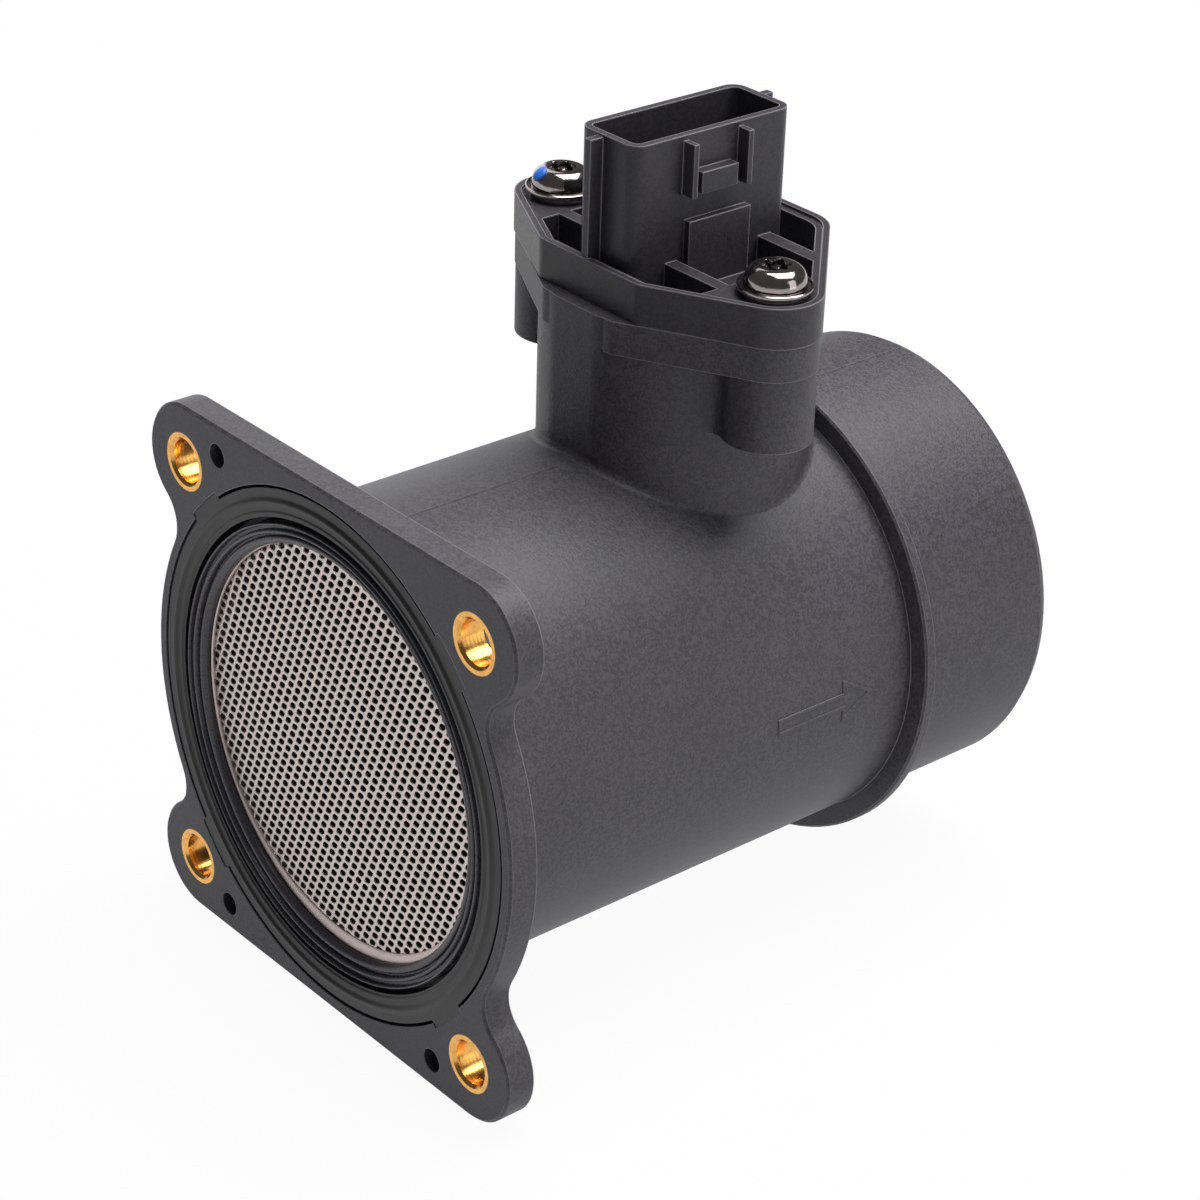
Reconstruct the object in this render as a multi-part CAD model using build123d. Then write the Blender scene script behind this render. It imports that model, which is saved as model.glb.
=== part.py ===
from build123d import *
import os

# Mass airflow sensor: a moulded flow tube with a four-bolt inlet flange, a protection screen,
# and a plug-in sensor module whose duct hangs in the air stream.
# Frame: +Y is the flow direction, +Z points up through the module. The origin is on the bore
# axis, in the mounting face of the flange. All sizes are millimetres.

OVERCUT = 1.0                 # a cut runs this far past the face that it opens

# ---- flow tube -------------------------------------------------------------------------
LENGTH = 125.6                # mounting face to outlet rim
BORE_R = 36.4
TUBE_WALL = 3.3
TUBE_R = BORE_R + TUBE_WALL
SPIGOT_STEP = 0.3             # the hose spigot stands out from the tube by this
SPIGOT_R = TUBE_R + SPIGOT_STEP
SPIGOT_BEVEL = 1.4            # outside bevel of the outlet rim
SPIGOT_LEAD = 0.6             # inside bevel of the outlet rim
COLLAR_HEIGHT = 3.5           # hose stop, over the spigot
COLLAR_R = SPIGOT_R + COLLAR_HEIGHT
COLLAR_START = 92.6
COLLAR_WIDTH = 2.6
COLLAR_END = COLLAR_START + COLLAR_WIDTH
COLLAR_FRONT_BEVEL = 0.4
COLLAR_BACK_BEVEL = 0.6
COLLAR_FOOT = 0.5             # slope from the collar's back face down to the spigot

# ---- screen and its seat, from the bore outwards ------------------------------------------
SCREEN_DEPTH = 2.3            # front of the screen's metal rim behind the mounting face
SCREEN_RIM_INSET = 0.5        # outside of the metal rim, in from the bore
SCREEN_RIM_OUTER_R = BORE_R - SCREEN_RIM_INSET
SCREEN_RIM_WALL = 1.0
SCREEN_RIM_INNER_R = SCREEN_RIM_OUTER_R - SCREEN_RIM_WALL
SCREEN_RIM_T = 2.2
SCREEN_RIM_BEVEL = 0.2
SCREEN_CLEARANCE = 0.1        # between the metal rim and its seat in the plastic
SEAT_LIP = 2.0                # shoulder behind the metal rim, in from the bore
SEAT_LIP_R = BORE_R - SEAT_LIP
SEAT_LIP_T = 1.6
SEAT_LIP_LEAD = 6.0           # length of the cone from the lip out to the bore
MESH_T = 0.8                  # crossing wires, front to back
MESH_SETBACK = 0.9            # front of the mesh behind the front of its rim
MESH_PITCH = 6.4              # gaps of the plain grid that stands for the weave
MESH_BAR = 0.9
MESH_TURN = 27.0              # the wires lie this many degrees off the horizontal
MESH_BORDER = 0.6             # closed edge of the grid inside the rim
MESH_LEAST_GAP = 0.25         # smaller cut-off gaps at the edge stay closed, as a share of one gap
MESH_GRIP = 0.4               # edge of the mesh held in the rim's groove

# ---- gasket and its groove in the flange face ----------------------------------------------
SCREEN_RING = 2.9             # raised ring round the screen, out from the bore
RECESS_FLOOR_R = BORE_R + SCREEN_RING
RECESS_FLOOR_DEPTH = 1.6      # face of the raised ring behind the mounting face
RING_STEP_WIDTH = 1.6         # step in the face of the raised ring, in from its outside
RING_STEP = 0.5
GROOVE_DEPTH = 3.6            # floor of the gasket groove
GASKET_GAP_INSIDE = 0.9       # gasket to raised ring
GASKET_INNER_R = RECESS_FLOOR_R + GASKET_GAP_INSIDE
GASKET_WIDTH = 4.85
GASKET_OUTER_R = GASKET_INNER_R + GASKET_WIDTH
GASKET_GAP_OUTSIDE = 0.55     # gasket to the outer wall of the groove
RECESS_R = GASKET_OUTER_R + GASKET_GAP_OUTSIDE
GASKET_PROUD = 0.3            # gasket face in front of the mounting face
GASKET_BEAD_INSET = 1.75      # middle of the sealing bead, in from the outside
GASKET_BEAD_R = GASKET_OUTER_R - GASKET_BEAD_INSET
GASKET_BEAD = 0.45            # height of the bead over the shoulders beside it
GASKET_BEAD_WIDTH = 2.2
GASKET_VALLEY = 0.6           # width of the slope inside the bead
GASKET_TAB_WIDTH = 9.0        # four tabs that point at the bolt holes
GASKET_TAB_LENGTH = 1.25
GASKET_TAB_REACH = GASKET_OUTER_R + GASKET_TAB_LENGTH
TAB_CLEARANCE = 0.15

# ---- inlet flange ----------------------------------------------------------------------
FLANGE_T = 5.2
FLANGE_LAND = 2.0             # width of the flange outside the groove, at its sides
BULGE_R = RECESS_R + FLANGE_LAND
BOLT_TO_GROOVE = 8.14         # centre of a bolt hole to the outer wall of the groove
BOLT_HALF_SPACING = (RECESS_R + BOLT_TO_GROOVE) / 2 ** 0.5    # half the side of the bolt square
LOBE_R = 10.0                 # corner lobe round each bolt hole
WAIST_R = 6.0                 # hollow curve from side bulge to lobe
FLANGE_EDGE = 0.5             # broken edge of the mounting face
FLANGE_ROOT = 1.4             # fillet from flange to tube
BUSH_R = 5.0
BUSH_BORE_R = 3.7
BUSH_MOUTH = 0.5              # chamfer at both ends of a bush
LOCATING_HOLE_R = 2.05
LOCATING_HOLE_DEPTH = 4.0
LOCATING_OFFSET_X = 9.5       # from the nearest bolt hole towards the middle
LOCATING_OFFSET_Z = 4.8       # and outwards
LOCATING_CORNERS = ((-1, 1), (-1, -1), (1, -1))    # flange corners that have one, as signs of x and z

# ---- tower under the module: Y places are counted from the middle of the module -----------
MODULE_Y = 72.2               # middle of module and connector along the flow
TOWER_FRONT_REACH = 22.4
TOWER_FRONT = MODULE_Y - TOWER_FRONT_REACH
TOWER_BACK_REACH = 18.5       # short of the hose collar
TOWER_BACK = MODULE_Y + TOWER_BACK_REACH
TOWER_R = 23.0                # round tower, flattened at front and back
TOWER_EDGE_R = 6.0            # from each flat into the round
TOWER_WALL = 3.0
TOWER_ROOT = 1.2              # fillet from tower to tube
TOWER_SINK = 12.0             # the tower starts this far below the crown of the tube
DECK_TOP = 66.2               # Z of the joint between tower flange and module
DECK_T = 5.7
DECK_BOTTOM = DECK_TOP - DECK_T
DECK_SETBACK = 0.4            # front of the tower flange behind the front of the tower
DECK_FRONT = TOWER_FRONT + DECK_SETBACK
DECK_FRONT_CORNER_X = 7.6     # centre of the corner round of the tower flange
DECK_FRONT_CORNER_R = 3.0
DECK_LOBE_R = 7.65            # lobe of the tower flange round a screw
CAVITY_HALF = 16.6            # straight sides of the cavity, left and right of the middle
CAVITY_DEPTH = 20.2
CAVITY_FLOOR = DECK_TOP - CAVITY_DEPTH
SCREW_X = 26.2                # module screws, left and right of the bore axis
SCREW_FORWARD = 3.6           # before the middle of the module
SCREW_Y = MODULE_Y - SCREW_FORWARD
BOSS_R = 7.5
BOSS_BLEND_R = 2.0            # hollow between a boss and the wall of the tower
BOSS_LENGTH = 12.5            # below the tower flange
BOSS_BOTTOM = DECK_BOTTOM - BOSS_LENGTH
BOSS_FLOOR = 3.0              # closed end of a boss below its screw hole

# ---- module case and connector ---------------------------------------------------------------
CASE_H = 6.9                  # tower flange to rim of the case
CASE_TOP = DECK_TOP + CASE_H
CASE_SETBACK = 2.6            # front of the case behind the front of the tower
CASE_FRONT = TOWER_FRONT + CASE_SETBACK
CASE_OVERHANG = 5.5           # back of the case past the back of the tower
CASE_BACK = TOWER_BACK + CASE_OVERHANG
CASE_FRONT_CORNER_X = 11.3
CASE_FRONT_CORNER_R = 3.0
CASE_BACK_CORNER_X = 6.6
CASE_BACK_CORNER_R = 8.0
CASE_LOBE_R = 7.9             # lobe of the case round a screw
CASE_LIP = 1.2                # raised outer lip of the rim
CASE_LIP_H = 0.6
CASE_LEDGE = 1.2              # lower ledge inside the lip
POCKET_DEPTH = 5.5
POCKET_FLOOR = CASE_TOP - POCKET_DEPTH
PAD_FILL_X = 19.5             # outside this the front of the case is solid
PAD_MARGIN = 1.0              # solid pad under a screw, past its washer
RIB_FRONT = 8.45              # middle of the front stiffening rib, before the middle of the module
RIB_FRONT_T = 2.5
RIB_BACK = 11.8
RIB_BACK_T = 2.8
SHROUD_LENGTH = 33.6          # connector shroud, along the flow
SHROUD_FRONT = MODULE_Y - SHROUD_LENGTH / 2
SHROUD_BACK = MODULE_Y + SHROUD_LENGTH / 2
SHROUD_HALF = 7.0
SHROUD_H = 20.3               # over the rim of the case
SHROUD_TOP = CASE_TOP + SHROUD_H
SHROUD_WALL = 1.3
SHROUD_CORNER_R = 2.6
SOCKET_DEPTH = 18.9
SOCKET_FLOOR = SHROUD_TOP - SOCKET_DEPTH
KEY_X = -1.4                  # a thin coding key up each end of the shroud
KEY_T = 1.4
KEY_REACH = 2.6
KEY_DROP = 0.4                # top of the keys below the shroud's rim
RAIL_FRONT = 6.2              # two rails beside the latch, before and behind the middle
RAIL_BACK = 5.4
RAIL_T = 1.0
RAIL_REACH = 2.6
RAIL_DROP = 0.9               # top of the rails below the shroud's rim
RAIL_TOP = SHROUD_TOP - RAIL_DROP
RAIL_LENGTH = 9.0
LATCH_REACH = 2.0
LATCH_DROP = 6.1              # top of the latch below the shroud's rim
LATCH_TOP = SHROUD_TOP - LATCH_DROP
LATCH_LENGTH = 3.6
LATCH_GAP = 1.5               # from each rail to the latch
HEEL_FRONT = 5.9              # raised panel under the latch, before and behind the middle
HEEL_BACK = 7.2
HEEL_REACH = 1.3
HEEL_H = 6.0                  # over the rim of the case

# ---- module skirt and what is in it --------------------------------------------------------------
SKIRT_CLEARANCE = 0.6         # module skirt inside the tower
SKIRT_DEPTH = 12.2            # below the joint
SKIRT_BOTTOM = DECK_TOP - SKIRT_DEPTH
SKIRT_WALL = 2.6
SKIRT_ROOF_T = 2.2            # case roof over the circuit board, below the joint
SKIRT_ROOF = DECK_TOP - SKIRT_ROOF_T
PLATE_T = 2.0
PLATE_CLEARANCE = 0.1
BOARD_T = 1.2
BOARD_GAP = 4.6               # base plate to circuit board
BOARD_Z = SKIRT_BOTTOM + BOARD_GAP
BOARD_MARGIN = 1.0            # board edge to the walls of the skirt
STANDOFF_R = 1.8
STANDOFF_INSET_X = 3.0
STANDOFF_INSET_Y = 8.0
PIN_COUNT = 5
PIN_PITCH = 5.0
PIN_T = 0.8
PIN_WIDTH = 1.5
PIN_SETBACK = 7.4             # tip of a pin below the shroud's rim
PIN_TAPER = 0.25
SEAL_T = 2.0
SEAL_RISE = 5.4               # seal over the lower edge of the skirt
SEAL_Z = SKIRT_BOTTOM + SEAL_RISE
SEAL_GROOVE = 1.0             # depth of the seal's groove in the skirt
SEAL_GAP = 0.02               # drawn clear of the tower wall

# ---- sensing duct in the bore ------------------------------------------------------------------
DUCT_HALF = 7.5
DUCT_LENGTH = 24.5            # along the flow
DUCT_Y = MODULE_Y             # its middle
DUCT_FRONT = DUCT_Y - DUCT_LENGTH / 2
DUCT_BACK = DUCT_Y + DUCT_LENGTH / 2
DUCT_BELOW_AXIS = 8.5
DUCT_NOSE_R = 6.0
DUCT_END_ROUND = 2.5
DUCT_SLOT_CLEARANCE = 0.5
BYPASS_R = 5.2
BYPASS_Z = 1.0
BYPASS_FLARE = 1.4            # the passage widens by this at its mouth
BYPASS_FLARE_LENGTH = 2.8
LID_T = 1.6
LID_DROP = 10.0               # top of the lid below the base plate
LID_LENGTH = 30.0
LID_MARGIN = 4.5
LID_CORNER_R = 1.5
LID_CLEARANCE = 0.1
POST_T = 1.0                  # square stamped post
POST_SPACING = 6.4            # between the two posts that hold one wire
WIRE_OFFSET = 3.0             # hot wire behind the middle of the duct, cold wire before it
WIRE_R = 0.35
POST_EYE = 1.2                # wire to post end
AIR_BEAD_R = 2.1
AIR_BEAD_Z = 16.0
AIR_BEAD_REACH = 3.2          # bead centre in front of the duct
LEAD_SPACING = 3.0            # between the two leads of the bead
LEAD_R = 0.55
LEAD_INSET = 3.0              # upright run of the leads behind the duct's nose
LEAD_CLEARANCE = 0.05

# ---- fasteners -----------------------------------------------------------------------------------
SCREW_R = 2.0                 # M4
SCREW_LENGTH = 16.0           # under the head
SCREW_TIP = 0.5               # chamfer at the end of the shank
SCREW_HEAD_R = 6.2            # flange under the domed head
SCREW_HEAD_EDGE = 0.8         # thickness of that flange
SCREW_DOME_R = 5.0
SCREW_HEAD_H = 3.9
SCREW_HEAD_BULGE = 0.5        # rise of the dome over its chord
SCREW_FLAT_R = 2.65           # flat on top of the dome
SCREW_SOCKET_R = 2.3
SCREW_SOCKET_DEPTH = 1.8
SCREW_SOCKET_PIN_R = 0.75     # guard pin in the middle of the socket
SCREW_SOCKET_PIN_LOW = 0.3    # top of that pin below the flat
SCREW_HOLE_CLEARANCE = 0.4    # screw in the case lobe and below the insert
WASHER_GAP = 1.25             # washer inside the raised lip of the case
WASHER_R = CASE_LOBE_R - CASE_LIP - WASHER_GAP
WASHER_T = 1.0
WASHER_CLEARANCE = 0.15       # screw in its washer
INSERT_WALL = 1.1             # threaded insert round the screw
INSERT_R = SCREW_R + INSERT_WALL
INSERT_LENGTH = 10.0


# ======================================================================================
# Drawing helpers
# ======================================================================================

def along_flow(sketch, start, end):
    """Solid from a sketch drawn in X and Z, between two places along the flow."""
    return extrude(Plane.XZ.offset(-start) * sketch, amount=end - start, dir=(0, 1, 0))


def upright(plan, bottom, top):
    """Solid from a plan drawn in X and Y, between two heights."""
    return extrude(Plane.XY.offset(bottom) * plan, amount=top - bottom)


def turned(*section):
    """Ring turned round the bore axis from (radius, flow) corners of its section."""
    return revolve(make_face(Polyline(*section, close=True)), axis=Axis.Y)


def block(x_range, y_range, z_range):
    """Upright block between two corners."""
    size = [high - low for low, high in (x_range, y_range, z_range)]
    middle = [(low + high) / 2 for low, high in (x_range, y_range, z_range)]
    return Pos(*middle) * Box(*size)


def round_corners(plan, radius, wanted):
    """Plan with the corners that the test picks rounded."""
    return fillet(plan.vertices().filter_by(wanted), radius)


def at_screws(solid):
    """The same solid on both screw axes, as one group."""
    return Part(children=[Pos(side * SCREW_X, SCREW_Y, 0) * solid for side in (-1, 1)])


def rounded_hull(circles):
    """Tight outline round (x, y, radius) circles given for the right side and mirrored."""
    rounds = [Pos(side * x, y) * Circle(radius) for x, y, radius in circles for side in (-1, 1)]
    return make_hull([edge for disc in rounds for edge in disc.edges()])


# ======================================================================================
# Outlines that several pieces share
# ======================================================================================

def tower_depth(width):
    """Band across the flow at the given width, from the front of the tower to its back."""
    middle = (TOWER_FRONT + TOWER_BACK) / 2
    return Pos(0, middle) * Rectangle(width, TOWER_BACK - TOWER_FRONT)


def tower_plan():
    """Outside of the tower: a circle with its front and back cut flat."""
    plan = Pos(0, MODULE_Y) * Circle(TOWER_R) & tower_depth(2 * TOWER_R + OVERCUT)
    return round_corners(plan, TOWER_EDGE_R, lambda corner: abs(corner.X) < TOWER_R / 2)


def boss_plan():
    """Tower with its two screw bosses, blended where they meet."""
    bosses = [Pos(side * SCREW_X, SCREW_Y) * Circle(BOSS_R) for side in (-1, 1)]
    plan = tower_plan() + bosses
    return round_corners(plan, BOSS_BLEND_R, lambda corner: SCREW_X - BOSS_R < abs(corner.X) < SCREW_X)


def cavity_plan():
    """Inside of the tower, with straight sides that keep clear of the screws."""
    return offset(tower_plan(), -TOWER_WALL) & tower_depth(2 * CAVITY_HALF)


def skirt_plan():
    """Outside of the module's skirt."""
    return offset(cavity_plan(), -SKIRT_CLEARANCE)


def chamber_plan():
    """Inside of the module's skirt."""
    return offset(skirt_plan(), -SKIRT_WALL)


def case_plan():
    """Outside of the module case: six-sided, with a lobe round each screw."""
    return rounded_hull([
        (CASE_FRONT_CORNER_X, CASE_FRONT + CASE_FRONT_CORNER_R, CASE_FRONT_CORNER_R),
        (SCREW_X, SCREW_Y, CASE_LOBE_R),
        (CASE_BACK_CORNER_X, CASE_BACK - CASE_BACK_CORNER_R, CASE_BACK_CORNER_R),
    ])


def deck_plan():
    """Outside of the tower flange: the case outline with its front brought forward."""
    return rounded_hull([
        (DECK_FRONT_CORNER_X, DECK_FRONT + DECK_FRONT_CORNER_R, DECK_FRONT_CORNER_R),
        (SCREW_X, SCREW_Y, DECK_LOBE_R),
        (CASE_BACK_CORNER_X, CASE_BACK - CASE_BACK_CORNER_R, CASE_BACK_CORNER_R),
    ])


def duct_plan(grow=0.0):
    """Streamlined section of the sensing duct, which also shapes its slot in the tower."""
    width = 2 * (DUCT_HALF + grow)
    return Pos(0, DUCT_Y) * RectangleRounded(width, DUCT_LENGTH + 2 * grow, DUCT_NOSE_R)


def shroud_plan(shrink=0.0):
    """Outside of the connector shroud, or its inside with a wall taken off."""
    width = 2 * (SHROUD_HALF - shrink)
    length = SHROUD_LENGTH - 2 * shrink
    return Pos(0, MODULE_Y) * RectangleRounded(width, length, SHROUD_CORNER_R - shrink)


def bolt_places():
    """Bolt hole centres, as (x, z)."""
    return [(x, z) for z in (BOLT_HALF_SPACING, -BOLT_HALF_SPACING)
            for x in (-BOLT_HALF_SPACING, BOLT_HALF_SPACING)]


def locating_places():
    """Centres of the small locating holes, each beside the bolt hole of its corner."""
    x = BOLT_HALF_SPACING - LOCATING_OFFSET_X
    z = BOLT_HALF_SPACING + LOCATING_OFFSET_Z
    return [(side * x, end * z) for side, end in LOCATING_CORNERS]


def tab_plan(grow=0.0):
    """Four gasket tabs on the diagonals, drawn in X and Z, or their notches grown by a gap."""
    reach = GASKET_TAB_REACH + grow
    inner = (GASKET_INNER_R + GASKET_OUTER_R) / 2
    tab = Pos((inner + reach) / 2, 0) * Rectangle(reach - inner, GASKET_TAB_WIDTH + 2 * grow)
    tabs = Sketch() + [Rot(0, 0, 45 + 90 * turn) * tab for turn in range(4)]
    return tabs & Circle(reach)


# ======================================================================================
# Housing
# ======================================================================================

def flange_plan():
    """Flange outline: straight top and bottom, corner lobes, bulging sides with waists."""
    row = SlotCenterToCenter(2 * BOLT_HALF_SPACING, 2 * LOBE_R)
    plan = Circle(BULGE_R) + Pos(0, BOLT_HALF_SPACING) * row + Pos(0, -BOLT_HALF_SPACING) * row
    return round_corners(plan, WAIST_R, lambda corner: abs(corner.Y) < BOLT_HALF_SPACING - 1)


def flange_plate():
    plate = along_flow(flange_plan(), 0, FLANGE_T)
    return chamfer(plate.faces().sort_by(Axis.Y)[0].outer_wire().edges(), FLANGE_EDGE)


def tube_outside():
    """Tube and spigot as one turned solid, still without collar and bore."""
    root_end = FLANGE_T + FLANGE_ROOT
    return turned(
        (0, 0),
        (TUBE_R + FLANGE_ROOT, 0),
        (TUBE_R + FLANGE_ROOT, FLANGE_T),
        (TUBE_R, root_end),
        (TUBE_R, COLLAR_END),
        (SPIGOT_R, COLLAR_END),
        (SPIGOT_R, LENGTH - SPIGOT_BEVEL),
        (SPIGOT_R - SPIGOT_BEVEL / 2, LENGTH),
        (0, LENGTH),
    )


def hose_collar():
    """Hose stop between tube and spigot."""
    core_r = (BORE_R + TUBE_R) / 2
    return turned(
        (core_r, COLLAR_START),
        (COLLAR_R - COLLAR_FRONT_BEVEL, COLLAR_START),
        (COLLAR_R, COLLAR_START + COLLAR_FRONT_BEVEL),
        (COLLAR_R, COLLAR_END - COLLAR_BACK_BEVEL),
        (COLLAR_R - COLLAR_BACK_BEVEL, COLLAR_END),
        (SPIGOT_R, COLLAR_END + COLLAR_FOOT),
        (core_r, COLLAR_END + COLLAR_FOOT),
    )


def tube_bore():
    """Everything taken out round the axis: seal recess, screen seat and the air passage."""
    screen_back = SCREEN_DEPTH + SCREEN_RIM_T
    lip_end = screen_back + SEAT_LIP_T
    seat_r = SCREEN_RIM_OUTER_R + SCREEN_CLEARANCE
    step_r = RECESS_FLOOR_R - RING_STEP_WIDTH
    return turned(
        (0, -OVERCUT),
        (RECESS_R, -OVERCUT),
        (RECESS_R, GROOVE_DEPTH),
        (RECESS_FLOOR_R, GROOVE_DEPTH),
        (RECESS_FLOOR_R, RECESS_FLOOR_DEPTH),
        (step_r, RECESS_FLOOR_DEPTH),
        (step_r, RECESS_FLOOR_DEPTH + RING_STEP),
        (seat_r, RECESS_FLOOR_DEPTH + RING_STEP),
        (seat_r, screen_back),
        (SEAT_LIP_R, screen_back),
        (SEAT_LIP_R, lip_end),
        (BORE_R, lip_end + SEAT_LIP_LEAD),
        (BORE_R, LENGTH - SPIGOT_LEAD),
        (BORE_R + SPIGOT_LEAD, LENGTH),
        (BORE_R + SPIGOT_LEAD, LENGTH + OVERCUT),
        (0, LENGTH + OVERCUT),
    )


def tower_outside():
    """Round tower, screw bosses and the flange that carries the module."""
    wall = upright(tower_plan(), TUBE_R - TOWER_SINK, DECK_TOP)
    bosses = upright(boss_plan(), BOSS_BOTTOM, DECK_TOP)
    deck = upright(deck_plan(), DECK_BOTTOM, DECK_TOP)
    return wall + bosses + deck


def tower_inside():
    """Cavity for the module skirt, the duct's slot below it and the two insert holes."""
    cavity = upright(cavity_plan(), CAVITY_FLOOR, DECK_TOP + OVERCUT)
    slot = upright(duct_plan(DUCT_SLOT_CLEARANCE), 0, CAVITY_FLOOR + OVERCUT)
    inserts = at_screws(upright(Circle(INSERT_R), DECK_TOP - INSERT_LENGTH, DECK_TOP + OVERCUT))
    tip_r = SCREW_R + SCREW_HOLE_CLEARANCE
    screw_tips = at_screws(upright(Circle(tip_r), BOSS_BOTTOM + BOSS_FLOOR, DECK_TOP))
    return cavity + slot + inserts + screw_tips


def housing():
    """One moulding: flange, tube, collar, spigot and tower."""
    body = tube_outside() + tower_outside()
    root = body.edges().filter_by(on_tower_root)
    body = fillet(root, TOWER_ROOT)
    body += hose_collar()
    body += flange_plate()
    body -= tube_bore()
    body -= along_flow(tab_plan(TAB_CLEARANCE), -OVERCUT, GROOVE_DEPTH)
    body -= tower_inside()
    for x, z in bolt_places():
        body -= along_flow(Pos(x, z) * Circle(BUSH_R), -OVERCUT, FLANGE_T + OVERCUT)
    for x, z in locating_places():
        body -= along_flow(Pos(x, z) * Circle(LOCATING_HOLE_R), -OVERCUT, LOCATING_HOLE_DEPTH)
    return body


def on_tower_root(edge):
    """True for an edge where the tower wall meets the tube."""
    middle = edge.center()
    from_axis = (middle.X ** 2 + middle.Z ** 2) ** 0.5
    on_tube = middle.Z > 0 and abs(from_axis - TUBE_R) < 0.5
    in_length = TOWER_FRONT - 1 < middle.Y < TOWER_BACK + 1
    return on_tube and in_length and edge.geom_type != GeomType.CIRCLE


# ======================================================================================
# Pieces in the flange
# ======================================================================================

def flange_bush(x, z):
    """Brass compression bush, chamfered at both mouths."""
    bush = along_flow(Pos(x, z) * (Circle(BUSH_R) - Circle(BUSH_BORE_R)), 0, FLANGE_T)
    mouths = bush.edges().filter_by(GeomType.CIRCLE).sort_by(SortBy.RADIUS)[:2]
    return chamfer(mouths, BUSH_MOUTH)


def flange_gasket():
    """Moulded rubber ring with a sealing bead and four tabs in the notches of its groove."""
    shoulder = GASKET_BEAD - GASKET_PROUD
    bead_in = GASKET_BEAD_R - GASKET_BEAD_WIDTH / 2
    bead_out = GASKET_BEAD_R + GASKET_BEAD_WIDTH / 2
    slope = GASKET_BEAD
    ring = turned(
        (GASKET_INNER_R, 0),
        (bead_in - slope - GASKET_VALLEY, 0),
        (bead_in - slope, shoulder),
        (bead_in, -GASKET_PROUD),
        (bead_out, -GASKET_PROUD),
        (bead_out + slope, shoulder),
        (GASKET_OUTER_R, shoulder),
        (GASKET_OUTER_R, GROOVE_DEPTH),
        (GASKET_INNER_R, GROOVE_DEPTH),
    )
    middle = Circle((GASKET_INNER_R + GASKET_OUTER_R) / 2)
    core = along_flow(middle, -OVERCUT, GROOVE_DEPTH + OVERCUT)
    tabs = along_flow(tab_plan(), shoulder, GROOVE_DEPTH) - core
    return ring + tabs


def screen_rim():
    """Rolled metal ring that clamps the edge of the mesh."""
    back = SCREEN_DEPTH + SCREEN_RIM_T
    mesh_front = SCREEN_DEPTH + MESH_SETBACK
    slot_r = SCREEN_RIM_INNER_R + MESH_GRIP
    return turned(
        (SCREEN_RIM_INNER_R, SCREEN_DEPTH + SCREEN_RIM_BEVEL),
        (SCREEN_RIM_INNER_R + SCREEN_RIM_BEVEL, SCREEN_DEPTH),
        (SCREEN_RIM_OUTER_R - SCREEN_RIM_BEVEL, SCREEN_DEPTH),
        (SCREEN_RIM_OUTER_R, SCREEN_DEPTH + SCREEN_RIM_BEVEL),
        (SCREEN_RIM_OUTER_R, back),
        (SCREEN_RIM_INNER_R, back),
        (SCREEN_RIM_INNER_R, mesh_front + MESH_T),
        (slot_r, mesh_front + MESH_T),
        (slot_r, mesh_front),
        (SCREEN_RIM_INNER_R, mesh_front),
    )


def inlet_screen():
    """Wire screen as a thin disc with a plain grid of gaps, turned like the weave."""
    start = SCREEN_DEPTH + MESH_SETBACK
    gap = MESH_PITCH - MESH_BAR
    across = 2 * round(SCREEN_RIM_INNER_R / MESH_PITCH) + 1
    grid = GridLocations(MESH_PITCH, MESH_PITCH, across, across)
    open_area = Sketch() + [place * Rectangle(gap, gap) for place in grid]
    open_area &= Circle(SCREEN_RIM_INNER_R - MESH_BORDER)
    gaps = [face for face in open_area.faces() if face.area > MESH_LEAST_GAP * gap ** 2]
    sheet = Circle(SCREEN_RIM_INNER_R + MESH_GRIP) - gaps
    return along_flow(Rot(0, 0, MESH_TURN) * sheet, start, start + MESH_T)


# ======================================================================================
# Module
# ======================================================================================

def case_pockets():
    """Weight-saving pockets in the top of the case, between rim, ribs and screw pads."""
    plan = offset(case_plan(), -CASE_LIP - CASE_LEDGE)
    for side in (-1, 1):
        plan -= Pos(side * SCREW_X, SCREW_Y) * Circle(WASHER_R + PAD_MARGIN)
        corner_block = Rectangle(2 * CASE_LOBE_R, SCREW_Y - CASE_FRONT)
        plan -= Pos(side * (PAD_FILL_X + CASE_LOBE_R), (SCREW_Y + CASE_FRONT) / 2) * corner_block
    for y, thickness in ((-RIB_FRONT, RIB_FRONT_T), (RIB_BACK, RIB_BACK_T)):
        plan -= Pos(0, MODULE_Y + y) * Rectangle(4 * SCREW_X, thickness)
    return upright(plan, POCKET_FLOOR, CASE_TOP + OVERCUT)


def connector_outside():
    """Shroud with its end keys, the rails beside the latch, the latch and its heel."""
    outside = upright(shroud_plan(), POCKET_FLOOR, SHROUD_TOP)
    key_x = (KEY_X - KEY_T / 2, KEY_X + KEY_T / 2)
    key_ends = (SHROUD_FRONT - KEY_REACH, SHROUD_BACK + KEY_REACH)
    outside += block(key_x, key_ends, (POCKET_FLOOR, SHROUD_TOP - KEY_DROP))
    face = SHROUD_HALF
    rails = (MODULE_Y - RAIL_FRONT, MODULE_Y + RAIL_BACK)
    for y in rails:
        rail_y = (y - RAIL_T / 2, y + RAIL_T / 2)
        outside += block((0, face + RAIL_REACH), rail_y, (RAIL_TOP - RAIL_LENGTH, RAIL_TOP))
    between = RAIL_T / 2 + LATCH_GAP
    latch_y = (rails[0] + between, rails[1] - between)
    outside += block((0, face + LATCH_REACH), latch_y, (LATCH_TOP - LATCH_LENGTH, LATCH_TOP))
    heel_y = (MODULE_Y - HEEL_FRONT, MODULE_Y + HEEL_BACK)
    outside += block((0, face + HEEL_REACH), heel_y, (POCKET_FLOOR, CASE_TOP + HEEL_H))
    return outside


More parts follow.
